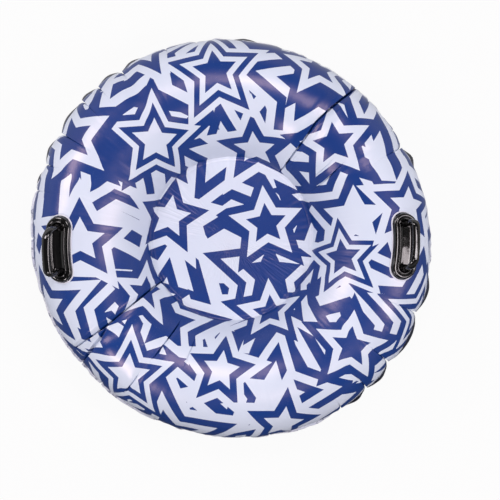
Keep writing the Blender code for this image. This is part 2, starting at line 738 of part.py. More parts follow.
def build_valve(lower_skin):
    """The two-way valve: neck, wide plug, small cap and one-way flap."""
    frame = valve_frame()
    base = hinge_empty("valve_axes", None, (0.0, 0.0, 0.0))
    base.matrix_world = frame
    plug_hinge = hinge_empty("plug_hinge", base, (PLUG_HINGE_REACH, 0.0, PLUG_HINGE_HEIGHT))
    cap_hinge = hinge_empty("cap_hinge", plug_hinge,
                            (-CAP_HINGE_REACH - PLUG_HINGE_REACH, 0.0,
                             CAP_HINGE_HEIGHT - PLUG_HINGE_HEIGHT))
    flap_hinge = hinge_empty("flap_hinge", plug_hinge,
                             (-PLUG_HINGE_REACH, FLAP_HINGE_REACH,
                              FLAP_HINGE_HEIGHT - PLUG_HINGE_HEIGHT))
    bpy.context.view_layer.update()
    build_valve_flange(frame)
    build_valve_neck(frame, lower_skin)
    build_plug_tether(frame)
    build_plug(frame, plug_hinge)
    build_cap(frame, cap_hinge)
    build_flap(frame, flap_hinge, plug_hinge)
    bpy.context.view_layer.update()
    for hinge, axis in ((plug_hinge, 1), (cap_hinge, 1), (flap_hinge, 0)):
        place = hinge.matrix_world.translation
        print(hinge.name, [round(value, 7) for value in place],
              [round(value, 6) for value in hinge.matrix_world.col[axis][:3]])


def main():
    clear_scene()
    lower_skin = build_ring()
    build_handles()
    build_valve(lower_skin)
    print("ring height", round(CREST_HEIGHT + SEAM_HEIGHT, 4),
          "flat sheet radius", round(SEAT_RADIUS + WALL_LENGTH, 4))


main()
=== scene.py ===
# %% [markdown]
# # An inflatable snow tube
# This lesson dresses a finished construction model. The frame holds every piece at its real
# size, and each cell below gives one piece or one finish its looks. Everything is in metres,
# with Z up, and the tube lies on the ground round the Z axis.

# %% Load the frame
import json
import math

import bmesh
import bpy
import numpy as np
from mathutils import Matrix, Vector


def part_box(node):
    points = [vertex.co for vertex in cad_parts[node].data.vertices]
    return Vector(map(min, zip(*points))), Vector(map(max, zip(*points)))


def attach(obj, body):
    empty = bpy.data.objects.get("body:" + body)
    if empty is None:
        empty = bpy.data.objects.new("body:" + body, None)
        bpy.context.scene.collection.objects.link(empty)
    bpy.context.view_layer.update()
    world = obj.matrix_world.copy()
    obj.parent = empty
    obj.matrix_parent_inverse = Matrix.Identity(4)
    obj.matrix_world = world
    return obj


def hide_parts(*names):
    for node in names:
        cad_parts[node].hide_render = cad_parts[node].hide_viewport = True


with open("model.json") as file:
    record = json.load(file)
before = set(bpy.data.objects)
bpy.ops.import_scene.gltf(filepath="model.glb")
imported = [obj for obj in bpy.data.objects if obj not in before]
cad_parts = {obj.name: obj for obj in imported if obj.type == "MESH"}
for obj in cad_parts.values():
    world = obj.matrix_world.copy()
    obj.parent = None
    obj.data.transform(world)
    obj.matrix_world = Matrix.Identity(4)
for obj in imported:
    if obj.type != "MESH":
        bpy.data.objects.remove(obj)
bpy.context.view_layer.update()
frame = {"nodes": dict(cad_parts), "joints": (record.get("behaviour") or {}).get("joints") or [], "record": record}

print("nodes in the frame:", len(frame["nodes"]))

# %% [markdown]
# ## The camera
# The photograph looks straight down on the tube. A long lens far away keeps the ring round,
# and a small shift puts the tube a little left of and above the middle of the picture, which
# is easier than turning the camera and keeps the floor square to it.

# %% Camera
PICTURE = 500                       # pixels along each side
TUBE_PIXEL = (231.5, 238.5)         # middle of the tube in the picture
PIXEL_SIZE = 0.0025                 # metres a pixel covers at the height of the rim
CAMERA_HEIGHT = 4.2
RIM_HEIGHT = (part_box("outer_seam")[0].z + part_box("outer_seam")[1].z) / 2

lens = bpy.data.cameras.new("camera")
lens.sensor_width = 36.0
lens.lens = lens.sensor_width * (CAMERA_HEIGHT - RIM_HEIGHT) / (PIXEL_SIZE * PICTURE)
lens.shift_x = (PICTURE / 2 - TUBE_PIXEL[0]) / PICTURE
lens.shift_y = (TUBE_PIXEL[1] - PICTURE / 2) / PICTURE
lens.clip_end = 60.0
camera = bpy.data.objects.new("camera", lens)
camera.location = (0.0, 0.0, CAMERA_HEIGHT)
bpy.context.scene.collection.objects.link(camera)
bpy.context.scene.camera = camera
bpy.context.scene.view_settings.view_transform = "Standard"
print("lens", round(lens.lens, 1), "mm")

# %% [markdown]
# ## Small helpers for node trees
# Materials here are built from nodes. A few helpers keep that readable: each adds one kind of
# node, fills its sockets and hands back its output, so that a finish reads like a sum. A
# socket can be given a plain value or the output of another node.


# %% Node helpers
def fill(tree, socket, value):
    """Set a socket to a value, or link another node's output to it."""
    if isinstance(value, bpy.types.NodeSocket):
        tree.links.new(value, socket)
    else:
        socket.default_value = value


def add_node(tree, kind, settings=None, *values, **sockets):
    """Add a node, set its properties, and fill its sockets in order or by name."""
    node = tree.nodes.new(kind)
    for name, value in (settings or {}).items():
        setattr(node, name, value)
    for socket, value in zip(node.inputs, values):
        fill(tree, socket, value)
    for name, value in sockets.items():
        fill(tree, node.inputs[name.replace("_", " ")], value)
    return node


def compute(tree, operation, *values):
    """A Math node on numbers or outputs."""
    return add_node(tree, "ShaderNodeMath", {"operation": operation}, *values).outputs[0]


def compute_vector(tree, operation, *values):
    """A Vector Math node; a length or a dot product comes out as a number."""
    node = add_node(tree, "ShaderNodeVectorMath", {"operation": operation}, *values)
    return node.outputs["Value" if operation in ("LENGTH", "DOT_PRODUCT") else "Vector"]


def add_share(tree, base, value, share):
    """A base value plus a share of another one."""
    return compute(tree, "ADD", base, compute(tree, "MULTIPLY", value, share))


def remap(tree, value, low, high, to_low=0.0, to_high=1.0):
    """Stretch a range of values to another range, with soft ends."""
    return add_node(tree, "ShaderNodeMapRange", {"interpolation_type": "SMOOTHSTEP"},
                    value, low, high, to_low, to_high).outputs["Result"]


def blend_colours(tree, share, first, second):
    """Mix two colours."""
    node = add_node(tree, "ShaderNodeMix", {"data_type": "RGBA"}, share)
    fill(tree, node.inputs[6], first)
    fill(tree, node.inputs[7], second)
    return node.outputs[2]


def noise(tree, place, scale, detail=3.0, roughness=0.5):
    """Smooth random values over the surface."""
    return add_node(tree, "ShaderNodeTexNoise", Vector=place, Scale=scale, Detail=detail,
                    Roughness=roughness).outputs["Fac"]


def new_group(name, inputs, outputs):
    """An empty shader node group with its sockets, and the nodes at its two ends."""
    group = bpy.data.node_groups.new(name, "ShaderNodeTree")
    for title, kind in inputs:
        group.interface.new_socket(title, in_out="INPUT", socket_type="NodeSocket" + kind)
    for title, kind in outputs:
        group.interface.new_socket(title, in_out="OUTPUT", socket_type="NodeSocket" + kind)
    start = group.nodes.new("NodeGroupInput").outputs
    end = group.nodes.new("NodeGroupOutput").inputs
    return group, start, end


def use_group(tree, group, **sockets):
    """Place a group in a material or in another group."""
    return add_node(tree, "ShaderNodeGroup", {"node_tree": group}, **sockets).outputs


# %% [markdown]
# ## The star print
# The top sheet is printed with five-pointed stars that lie over each other, each one drawn as
# bands inside bands. A picture could hold such a print, but a formula stays sharp at any
# size. A star looks the same in each of its ten wedges, so the group folds the angle into
# one wedge. There a star's edge is a straight line, and the distance to that line counts the
# bands. The group then lays its star over whatever print is already there.

# %% One star
STAR_WAIST = 0.48                   # inner corners over outer points
STAR_CORE = 0.37                    # share of a star that its plain core takes
WEDGE = math.pi / 5
EDGE_TURN = math.atan2(1 - STAR_WAIST * math.cos(WEDGE), STAR_WAIST * math.sin(WEDGE))


def build_star_group():
    group, given, result = new_group(
        "print star",
        [("Place", "Vector"), ("Underneath", "Float"), ("Middle", "Vector"), ("Size", "Float"),
         ("Turn", "Float"), ("Bands", "Float"), ("Outermost", "Float")],
        [("Print", "Float")])
    offset = compute_vector(group, "SUBTRACT", given["Place"], given["Middle"])
    across = add_node(group, "ShaderNodeSeparateXYZ", Vector=offset).outputs
    angle = compute(group, "ARCTAN2", across["X"], across["Y"])
    folded = compute(group, "PINGPONG", compute(group, "ADD", angle, given["Turn"]), WEDGE)
    lean = compute(group, "COSINE", compute(group, "SUBTRACT", folded, EDGE_TURN))
    reach = compute(group, "MULTIPLY", compute_vector(group, "LENGTH", offset), lean)
    edge = compute(group, "MULTIPLY", given["Size"], math.cos(EDGE_TURN))
    inward = compute(group, "SUBTRACT", 1.0, compute(group, "DIVIDE", reach, edge))
    steps = compute(group, "DIVIDE", compute(group, "MULTIPLY", inward, given["Bands"]),
                    1 - STAR_CORE)
    band = compute(group, "MINIMUM", compute(group, "FLOOR", steps), given["Bands"])
    colour = compute(group, "PINGPONG", compute(group, "ADD", band, given["Outermost"]), 1.0)
    inside = compute(group, "GREATER_THAN", inward, 0.0)
    over = add_node(group, "ShaderNodeMix", None, inside)
    fill(group, over.inputs[2], given["Underneath"])
    fill(group, over.inputs[3], colour)
    fill(group, result["Print"], over.outputs[0])
    return group


PRINT_STAR = build_star_group()
print("star group nodes:", len(PRINT_STAR.nodes))

# %% [markdown]
# The stars are laid out in three layers, from a few very large ones at the bottom to many
# small ones on top, so that the large ones only show as shards. Each layer follows a spiral
# whose turn is the golden angle, as seeds in a sunflower do, which spreads any number of
# stars evenly. Sizes grow towards the rim. Sines with uneven steps vary the stars, which looks
# random but comes out the same each time.

# %% Star layout
FLAT_RADIUS = 0.6065                # the flat sheet before it is blown up
MAP_SIZE = 1.25                     # the flat sheet's coordinates cover this many metres
GOLDEN_TURN = math.pi * (3 - math.sqrt(5))
SIZE_SWAY = 0.10                    # share by which a star is larger or smaller
TURN_SWAY = 0.16                    # radians by which a star is turned
# Number of stars, how far out they reach, sizes in the middle and at the rim, bands, phase
STAR_LAYERS = (
    (5, 0.55, 0.55, 0.60, 5, 1.71),
    (11, 0.62, 0.23, 0.28, 3, 5.53),
    (20, 0.60, 0.13, 0.17, 2, 0.40),
)


def star_layout():
    """Middle, size, turn, bands and outermost colour of each star, the lowest first."""
    stars = []
    for layer, (count, spread, small, large, bands, phase) in enumerate(STAR_LAYERS):
        for index in range(count):
            distance = spread * math.sqrt((index + 0.5) / count)
            angle = phase + index * GOLDEN_TURN
            size = small + (large - small) * distance / FLAT_RADIUS
            size *= 1 + SIZE_SWAY * math.sin(2.3 * index + phase)
            turn = TURN_SWAY * math.sin(4.1 * index + 1.7 * phase)
            extra = 1 if layer == 2 and math.sin(5.3 * index + phase) > 0.6 else 0
            middle = (distance * math.cos(angle), distance * math.sin(angle), 0.0)
            stars.append((middle, size, turn, bands + extra, (index + layer) % 2))
    return stars


def build_print_group():
    group, given, result = new_group("star print", [("Place", "Vector")], [("Print", "Float")])
    painted = 0.0
    for middle, size, turn, bands, outermost in star_layout():
        painted = use_group(group, PRINT_STAR, Place=given["Place"], Underneath=painted,
                            Middle=middle, Size=size, Turn=turn, Bands=bands,
                            Outermost=outermost)["Print"]
    fill(group, result["Print"], painted)
    return group


STAR_PRINT = build_print_group()
print("stars:", len(star_layout()))

# %% [markdown]
# ## Effects that several finishes share
# Soft vinyl has a fine leathery grain, it carries small scuffs and a little dust, and where
# it is drawn together it wrinkles in streaks. Each effect is one group that puts out a
# height or a mask, and each material uses it at its own scale and strength.


# %% Shared effects
def build_grain_group():
    group, given, result = new_group(
        "vinyl grain", [("Place", "Vector"), ("Scale", "Float")], [("Height", "Float")])
    cells = add_node(group, "ShaderNodeTexVoronoi", {"feature": "SMOOTH_F1"},
                     Vector=given["Place"], Scale=given["Scale"])
    swell = noise(group, given["Place"], compute(group, "MULTIPLY", given["Scale"], 0.12))
    fill(group, result["Height"], add_share(group, swell, cells.outputs["Distance"], 0.6))
    return group


def build_scuff_group():
    group, given, result = new_group(
        "scuffs and dust", [("Place", "Vector"), ("Amount", "Float")],
        [("Scuff", "Float"), ("Dust", "Float")])
    stretched = add_node(group, "ShaderNodeMapping", Vector=given["Place"],
                         Rotation=(0.2, 0.1, 0.7), Scale=(9.0, 150.0, 60.0))
    lines = noise(group, stretched.outputs[0], 1.0, detail=5.0, roughness=0.6)
    patches = noise(group, given["Place"], 7.0, detail=4.0)
    scuff = compute(group, "MULTIPLY", remap(group, lines, 0.60, 0.74),
                    remap(group, patches, 0.45, 0.65))
    specks = noise(group, given["Place"], 420.0, detail=2.0)
    dust = compute(group, "MULTIPLY", remap(group, specks, 0.62, 0.75),
                   remap(group, patches, 0.35, 0.7))
    fill(group, result["Scuff"], compute(group, "MULTIPLY", scuff, given["Amount"]))
    fill(group, result["Dust"], compute(group, "MULTIPLY", dust, given["Amount"]))
    return group


def build_streak_group():
    group, given, result = new_group(
        "radial wrinkles", [("Place", "Vector"), ("Count", "Float")],
        [("Height", "Float"), ("Mask", "Float")])
    parts = add_node(group, "ShaderNodeSeparateXYZ", Vector=given["Place"]).outputs
    length = compute_vector(group, "LENGTH", given["Place"])
    out = compute(group, "DIVIDE", 1.0, compute(group, "ADD", length, 0.02))
    around = [compute(group, "MULTIPLY", compute(group, "MULTIPLY", parts[axis], out),
                      given["Count"]) for axis in "XY"]
    along = compute(group, "MULTIPLY", length, 2.2)
    drawn = add_node(group, "ShaderNodeCombineXYZ", None, *around, along).outputs[0]
    streaks = noise(group, drawn, 1.0, detail=1.0, roughness=0.45)
    patches = noise(group, given["Place"], 5.5, detail=2.0)
    mask = remap(group, patches, 0.42, 0.62)
    fill(group, result["Height"], compute(group, "MULTIPLY", streaks, mask))
    fill(group, result["Mask"], mask)
    return group


GRAIN = build_grain_group()
SCUFFS = build_scuff_group()
STREAKS = build_streak_group()
print("shared effects:", GRAIN.name, "/", SCUFFS.name, "/", STREAKS.name)

# %% [markdown]
# ## Finishes
# Each material keeps its Principled shader in the material itself, with plain numbers on its
# own sockets, and takes only colours, masks and heights from the groups. Colours are the
# ones that the photograph shows, turned from screen values into the linear values that the
# shader works with.


# %% Material helpers
def linear(red, green, blue):
    """A screen colour from 0 to 255 as the linear colour that shaders use."""
    def convert(value):
        share = value / 255
        return share / 12.92 if share <= 0.04045 else ((share + 0.055) / 1.055) ** 2.4
    return convert(red), convert(green), convert(blue), 1.0


def new_material(name, roughness, **sockets):
    """A material with a Principled shader, its tree, shader and object coordinates."""
    material = bpy.data.materials.new(name + "_finish")
    material.use_nodes = True
    tree = material.node_tree
    shader = tree.nodes["Principled BSDF"]
    shader.inputs["Roughness"].default_value = roughness
    for title, value in sockets.items():
        shader.inputs[title.replace("_", " ")].default_value = value
    place = tree.nodes.new("ShaderNodeTexCoord").outputs["Object"]
    return material, tree, shader, place


def add_bump(tree, shader, height, depth):
    """Let a height move the light on the surface; depth is in metres."""
    bump = add_node(tree, "ShaderNodeBump", Strength=1.0, Distance=depth, Height=height)
    fill(tree, shader.inputs["Normal"], bump.outputs["Normal"])


def clouds(tree, place, scale, detail=3.0):
    """Soft cloudy patches, from 0 to 1."""
    return remap(tree, noise(tree, place, scale, detail), 0.3, 0.7)


def lay_over(tree, colour, mask, share, tint):
    """A colour with a share of a tint over it where a mask says so, such as dust."""
    return blend_colours(tree, compute(tree, "MULTIPLY", mask, share), colour, tint)


# %% [markdown]
# The printed vinyl reads its place on the flat sheet from the mesh's UV map, so the print
# bends and squeezes with the sheet as it is blown up, as the real print does.

# %% Printed vinyl
SHEEN_TINT = (1.0, 0.74, 0.68, 1.0)  # the printed film's gloss is pinkish
INK_BLUE = linear(13, 59, 131)
BARE_WHITE = linear(214, 225, 241)


def printed_vinyl():
    material, tree, shader, place = new_material("printed_vinyl", 0.30, Specular_IOR_Level=0.60,
                                                 Specular_Tint=SHEEN_TINT)
    flat = add_node(tree, "ShaderNodeUVMap", {"uv_map": "flat_sheet"}).outputs["UV"]
    centred = add_node(tree, "ShaderNodeMapping", Vector=flat,
                       Location=(-MAP_SIZE / 2, -MAP_SIZE / 2, 0.0),
                       Scale=(MAP_SIZE, MAP_SIZE, 1.0)).outputs[0]
    painted = use_group(tree, STAR_PRINT, Place=centred)["Print"]
    cloudy = clouds(tree, place, 6.0)
    blue = blend_colours(tree, cloudy, linear(9, 54, 124), INK_BLUE)
    white = blend_colours(tree, cloudy, linear(210, 221, 238), BARE_WHITE)
    marks = use_group(tree, SCUFFS, Place=place, Amount=0.5)
    colour = lay_over(tree, blend_colours(tree, painted, blue, white), marks["Dust"], 0.35,
                      linear(176, 180, 196))
    fill(tree, shader.inputs["Base Color"], colour)
    streaks = use_group(tree, STREAKS, Place=centred, Count=26.0)
    rough = add_share(tree, 0.28, marks["Scuff"], 0.2)
    fill(tree, shader.inputs["Roughness"], add_share(tree, rough, streaks["Mask"], 0.06))
    grain = use_group(tree, GRAIN, Place=place, Scale=900.0)["Height"]
    fine = compute(tree, "MULTIPLY", grain, 0.03)
    add_bump(tree, shader, add_share(tree, fine, streaks["Height"], 0.6), 0.0026)
    return material


PRINTED = printed_vinyl()
print("printed vinyl:", len(PRINTED.node_tree.nodes), "nodes")

# %% [markdown]
# The underside is a thicker, slick sheet in a very dark blue with a leathery grain, rubbed
# pale where it slides over the snow. The welded margins are the same vinyl melted until it
# turns milky, with grey flecks where the two sheets' colours have run together.


# %% Dark, welded, white and clear vinyl
def dark_vinyl():
    material, tree, shader, place = new_material("dark_vinyl", 0.38)
    worn = remap(tree, noise(tree, place, 9.0, detail=5.0), 0.52, 0.75)
    marks = use_group(tree, SCUFFS, Place=place, Amount=1.0)
    colour = blend_colours(tree, clouds(tree, place, 3.0), linear(22, 26, 42),
                           linear(28, 33, 52))
    colour = lay_over(tree, colour, marks["Scuff"], 0.5, linear(84, 90, 108))
    colour = lay_over(tree, colour, marks["Dust"], 0.4, linear(120, 124, 134))
    fill(tree, shader.inputs["Base Color"], colour)
    fill(tree, shader.inputs["Roughness"], remap(tree, worn, 0.0, 1.0, 0.34, 0.50))
    grain = use_group(tree, GRAIN, Place=place, Scale=560.0)["Height"]
    add_bump(tree, shader, grain, 0.0006)
    return material


def seam_vinyl():
    material, tree, shader, place = new_material("seam_vinyl", 0.33)
    flecks = remap(tree, noise(tree, place, 95.0, detail=4.0, roughness=0.65), 0.53, 0.63)
    milky = blend_colours(tree, clouds(tree, place, 24.0), linear(206, 212, 228),
                          linear(226, 229, 238))
    fill(tree, shader.inputs["Base Color"],
         lay_over(tree, milky, flecks, 0.75, linear(112, 118, 146)))
    pressed = add_node(tree, "ShaderNodeTexVoronoi", Vector=place, Scale=420.0)
    height = compute(tree, "ADD", pressed.outputs["Distance"], flecks)
    add_bump(tree, shader, height, 0.0005)
    return material


def plain_vinyl(name, first, second, roughness, scale):
    material, tree, shader, place = new_material(name, roughness)
    marks = use_group(tree, SCUFFS, Place=place, Amount=0.7)
    colour = blend_colours(tree, clouds(tree, place, 18.0, detail=4.0), first, second)
    fill(tree, shader.inputs["Base Color"],
         lay_over(tree, colour, marks["Dust"], 0.5, linear(150, 154, 168)))
    fill(tree, shader.inputs["Roughness"], add_share(tree, roughness, marks["Scuff"], 0.2))
    grain = use_group(tree, GRAIN, Place=place, Scale=scale)["Height"]
    add_bump(tree, shader, grain, 0.0003)
    return material


DARK = dark_vinyl()
SEAM = seam_vinyl()
WHITE = plain_vinyl("white_vinyl", linear(218, 222, 236), linear(230, 232, 242), 0.34, 800.0)
CLEAR = plain_vinyl("clear_vinyl", linear(186, 198, 216), linear(206, 216, 230), 0.22, 700.0)
print("vinyls:", DARK.name, SEAM.name, WHITE.name, CLEAR.name)

# %% [markdown]
# The handles are moulded from a soft black plastic with a wet gloss. Moulded gloss is never
# perfectly even: a faint ripple bends the reflections, and fine scratches dull it. The valve
# is a paler, satin plastic of the same family.


# %% Moulded plastics
def moulding(name, first, second, roughness, ripple, dusty, coat):
    material, tree, shader, place = new_material(name, roughness, Coat_Weight=coat,
                                                 Coat_Roughness=0.05)
    marks = use_group(tree, SCUFFS, Place=place, Amount=1.0)
    colour = blend_colours(tree, clouds(tree, place, 30.0), first, second)
    fill(tree, shader.inputs["Base Color"],
         lay_over(tree, colour, marks["Dust"], dusty, linear(120, 122, 128)))
    fill(tree, shader.inputs["Roughness"], add_share(tree, roughness, marks["Scuff"], 0.25))
    wavy = noise(tree, place, 55.0, detail=2.0)
    fine = noise(tree, place, 900.0, detail=2.0)
    add_bump(tree, shader, add_share(tree, wavy, fine, 0.02), ripple)
    return material


BLACK = moulding("black_moulding", linear(4, 4, 5), linear(8, 8, 9), roughness=0.11,
                 ripple=0.0005, dusty=0.008, coat=0.6)
VALVE = moulding("valve_plastic", linear(188, 192, 198), linear(200, 203, 208), roughness=0.34,
                 ripple=0.0003, dusty=0.12, coat=0.0)
print("plastics:", BLACK.name, VALVE.name)

# %% [markdown]
# ## The shape of the blown-up ring
# Two flat sheets that are welded along two circles and filled with air take a known shape:
# the skin's slope depends only on its distance from the middle. The same formula gives the
# construction model its section, so the finer sheets made here lie exactly on it.

# %% Section of the ring
SHEET = 0.0008                      # thickness of the vinyl
GAP = 0.0003                        # between pieces that fit each other closely
SOFT_GAP = 0.0005                   # between a sheet and what is welded to it
RIM_RADIUS = 0.496                  # middle to outer seam, on average
SEAT_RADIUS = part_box("seat_top_sheet")[1].x + SOFT_GAP
SEAM_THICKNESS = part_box("outer_seam")[1].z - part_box("outer_seam")[0].z
EDGE_LIFT = SEAM_THICKNESS / 2 + GAP
OVAL = 0.021                        # share by which the rim is longer one way
OVAL_ANGLE = math.radians(136)      # that way
# Broad folds across the upper skin: degrees, depth, half width
FOLDS = ((53, 0.015, 0.022), (217, 0.014, 0.022), (32, 0.005, 0.018), (237, 0.006, 0.018))
# Broad puckers in the rim: degrees, depth, half width
PUCKERS = ((28, 0.006, 0.022), (123, 0.006, 0.022), (148, 0.006, 0.020), (159, 0.005, 0.020),
           (220, 0.006, 0.026), (312, 0.005, 0.022), (322, 0.008, 0.022), (338, 0.008, 0.022))


def trace_wall(crest_radius, samples=600):
    """Radius, height and distance along the skin, from the outer seam to the seat weld."""
    span = RIM_RADIUS - SEAT_RADIUS
    stiffness = RIM_RADIUS ** 2 - crest_radius ** 2
    step = np.linspace(0.0, 1.0, samples)
    radius = RIM_RADIUS - span * step ** 2
    slope = (crest_radius ** 2 - radius ** 2) / stiffness
    length_rate = 2 * span / np.sqrt(span * (RIM_RADIUS + radius) * (1 - slope) / stiffness)
    rates = np.stack([-slope * length_rate, length_rate])
    added = np.cumsum((rates[:, 1:] + rates[:, :-1]) / 2 * np.diff(step), axis=1)
    height, distance = np.concatenate([np.zeros((2, 1)), added], axis=1)
    return radius, height, distance


def find_crest():
    """The crest's radius that brings the skin back to the seam's height at the weld."""
    low = SEAT_RADIUS
    high = math.sqrt((RIM_RADIUS ** 2 + SEAT_RADIUS ** 2) / 2) - 1e-6
    for _ in range(50):
        middle = (low + high) / 2
        if trace_wall(middle)[1][-1] > 0:
            low = middle
        else:
            high = middle
    return middle


CREST_RADIUS = find_crest()
WALL_RADII, WALL_HEIGHTS, WALL_DISTANCES = trace_wall(CREST_RADIUS)
WALL_LENGTH = WALL_DISTANCES[-1]
CREST_HEIGHT = WALL_HEIGHTS.max()
print("crest at radius", round(CREST_RADIUS, 4), "and height", round(CREST_HEIGHT, 4))

# %% [markdown]
# The section is then swept round the middle. The rim is slightly oval and broad puckers draw
# it in, so each direction stretches the section to its own reach. Any place on a skin is
# given by its distance along the skin from the seat weld and its angle round the ring.


# %% Points on the skins
def angle_from(angle, centre):
    """Signed angle from a centre, between minus and plus half a turn."""
    return (angle - centre + math.pi) % (2 * math.pi) - math.pi


def hump(away, half_width, power=2):
    """1 in the middle of a smooth hump and 0 far away; a higher power gives a flatter top."""
    return np.exp(-(away / half_width) ** power)


def polar(reach, angle, height):
    """Points from their distance and direction from the Z axis, and their height."""
    reach, angle, height = np.broadcast_arrays(reach, angle, height)
    return np.stack([reach * np.cos(angle), reach * np.sin(angle), height], axis=-1)


def drawn_in(features, angle, radius):
    """Summed depth of broad folds or puckers."""
    depth = 0.0
    for degrees, deepest, half_width in features:
        away = angle_from(angle, math.radians(degrees)) * radius
        depth = depth + deepest * hump(away, half_width)
    return depth


def rim_reach(angle):
    """Distance from the middle to the outer seam in one direction."""
    oval = 1 + OVAL * np.cos(2 * (angle - OVAL_ANGLE))
    return RIM_RADIUS * oval - drawn_in(PUCKERS, angle, RIM_RADIUS)


def wall_at(distance):
    """Radius, height and slope of the skin at distances from the seat weld, 0 or more."""
    back = WALL_LENGTH - distance
    radius = np.interp(back, WALL_DISTANCES, WALL_RADII)
    height = np.interp(back, WALL_DISTANCES, WALL_HEIGHTS)
    slope = (CREST_RADIUS ** 2 - radius ** 2) / (RIM_RADIUS ** 2 - CREST_RADIUS ** 2)
    return radius, height, slope


def skin_points(distance, angle, proud=0.0, lower=False):
    """Points on a skin, or proud of it, at distances from the seat weld and angles."""
    distance = np.asarray(distance, float)
    radius, height, slope = wall_at(distance)
    stretch = (rim_reach(angle) - SEAT_RADIUS) / (RIM_RADIUS - SEAT_RADIUS)
    on_seat = distance < 0
    level = np.sqrt(np.maximum(1 - slope ** 2, 0.0))
    reach = SEAT_RADIUS + (radius - SEAT_RADIUS) * stretch - slope * proud
    reach = np.where(on_seat, SEAT_RADIUS + distance, reach)
    seat_lift = EDGE_LIFT + SHEET
    if lower:
        rise = -np.maximum(height, seat_lift) - level * proud
        rise = np.where(on_seat, -seat_lift - proud, rise)
        rise = np.maximum(rise, -RIM_HEIGHT)
    else:
        folded = height * (1 - drawn_in(FOLDS, angle, radius) / CREST_HEIGHT)
        rise = np.maximum(folded, seat_lift) + level * proud
        rise = np.where(on_seat, seat_lift + proud, rise)
    return polar(reach, angle, RIM_HEIGHT + rise)


print("rim reach", round(float(rim_reach(0.0)), 4), "to", round(float(rim_reach(OVAL_ANGLE)), 4))

# %% [markdown]
# ## Creases, puckers and wrinkles
# A sheet that is wide at the rim has to shorten as air lifts it, and it does that in creases
# that run out from the seat and in puckers that draw the rim in. Each crease below is a short
# list of places that it passes through. Its section is a valley, and the sheet on one side
# slides over it, so the print jumps where the fold hides a strip of it. Puckers sit on the
# rim in the same way, fine wrinkles crowd between them, and the whole sheet is a little
# uneven.

# %% Creases and puckers
# Side that lies on top (1 is the clockwise side), width of the hidden strip, and places as
# radius, degrees and depth
CREASES = (
    (-1, 0.015, ((0.207, 54.6, 0.004), (0.225, 54.4, 0.009), (0.315, 54.2, 0.010),
                 (0.355, 54.6, 0.011), (0.413, 52.9, 0.013), (0.470, 51.2, 0.010),
                 (0.496, 50.6, 0.005))),
    (-1, 0.013, ((0.205, 212.0, 0.005), (0.225, 212.6, 0.010), (0.277, 213.9, 0.010),
                 (0.365, 215.2, 0.011), (0.420, 215.3, 0.010), (0.480, 215.2, 0.006))),
    (-1, 0.010, ((0.372, 216.9, 0.000), (0.392, 218.2, 0.008), (0.412, 219.1, 0.010),
                 (0.462, 219.5, 0.009), (0.496, 219.7, 0.004))),
    (1, 0.004, ((0.240, 238.0, 0.000), (0.256, 237.8, 0.006), (0.330, 236.8, 0.006),
                (0.365, 236.5, 0.000))),
    (1, 0.002, ((0.250, 249.8, 0.000), (0.290, 249.7, 0.003), (0.335, 249.5, 0.000))),
    (1, 0.005, ((0.405, 235.6, 0.000), (0.425, 235.3, 0.006), (0.455, 235.1, 0.006),
                (0.475, 235.0, 0.000))),
    (-1, 0.003, ((0.235, 30.8, 0.000), (0.285, 32.6, 0.005), (0.345, 34.6, 0.000))),
    (-1, 0.002, ((0.245, 36.5, 0.000), (0.280, 37.3, 0.003), (0.325, 38.2, 0.000))),
)
# Sharp puckers at the rim: degrees, depth, reach up the wall, side that lies on top
PINCHES = (
    (28, 0.009, 0.090, 1), (34, 0.004, 0.050, -1), (45, 0.004, 0.055, 1),
    (100, 0.003, 0.040, 1), (109, 0.005, 0.055, 1), (123.2, 0.009, 0.060, 1),
    (131.2, 0.008, 0.065, 1), (137.2, 0.009, 0.075, 1), (148.1, 0.011, 0.090, 1),
    (158, 0.007, 0.070, 1), (166, 0.005, 0.060, 1), (180, 0.004, 0.050, -1),
    (228, 0.004, 0.050, 1), (281, 0.003, 0.050, -1), (303, 0.006, 0.055, -1),
    (312.3, 0.009, 0.070, -1), (322, 0.011, 0.090, -1), (338.3, 0.011, 0.085, -1),
)
print("creases:", len(CREASES), "puckers:", len(PINCHES))

# %% [markdown]
# One function gives the section of every fold. The sheet swells into a low roll up to a lip,
# drops into a slot there, and comes up past it with a smaller roll. What lies before the lip
# also slides along the ring over the slot, and that hides a strip of the print.


# %% Folds
def smooth_step(share):
    """0 up to 0 and 1 from 1 on, with a soft rise between."""
    share = np.clip(share, 0.0, 1.0)
    return share ** 2 * (3 - 2 * share)


def pleat(away, hidden, depth, side):
    """Depth of a fold, and how far the sheet slides along the ring to lie over itself."""
    away = away * side
    hidden = np.maximum(hidden, 1e-4)
    tuck = 0.6 * hidden
    from_lip = away + hidden
    reach = 0.004 + 2.2 * hidden
    approach = hump(np.minimum(from_lip, 0.0), reach)
    tucked = smooth_step(from_lip / tuck)
    slot = 0.0025 + 0.35 * depth
    risen = smooth_step(away / slot)
    bulge = 0.42 * approach * (1 - tucked) + 0.22 * hump(away - 2.5 * slot, slot)
    fall = tucked * (1 - risen)
    slide = hidden * approach * (1 - tucked)
    return depth * (fall - bulge), side * slide


def creases(distance, angle):
    """Depth and slide of all the creases."""
    radius = wall_at(distance)[0]
    total, slid = 0.0, 0.0
    for side, hidden, places in CREASES:
        radii, degrees, depths = np.array(places).T
        centre = np.radians(np.interp(radius, radii, degrees))
        deep = np.interp(radius, radii, depths, left=0.0, right=0.0)
        strip = hidden * smooth_step(deep / depths.max())
        depth, slide = pleat(angle_from(angle, centre) * radius, strip, deep, side)
        total, slid = total + depth, slid + slide
    on_ring = distance > 0
    return total * on_ring, slid * on_ring


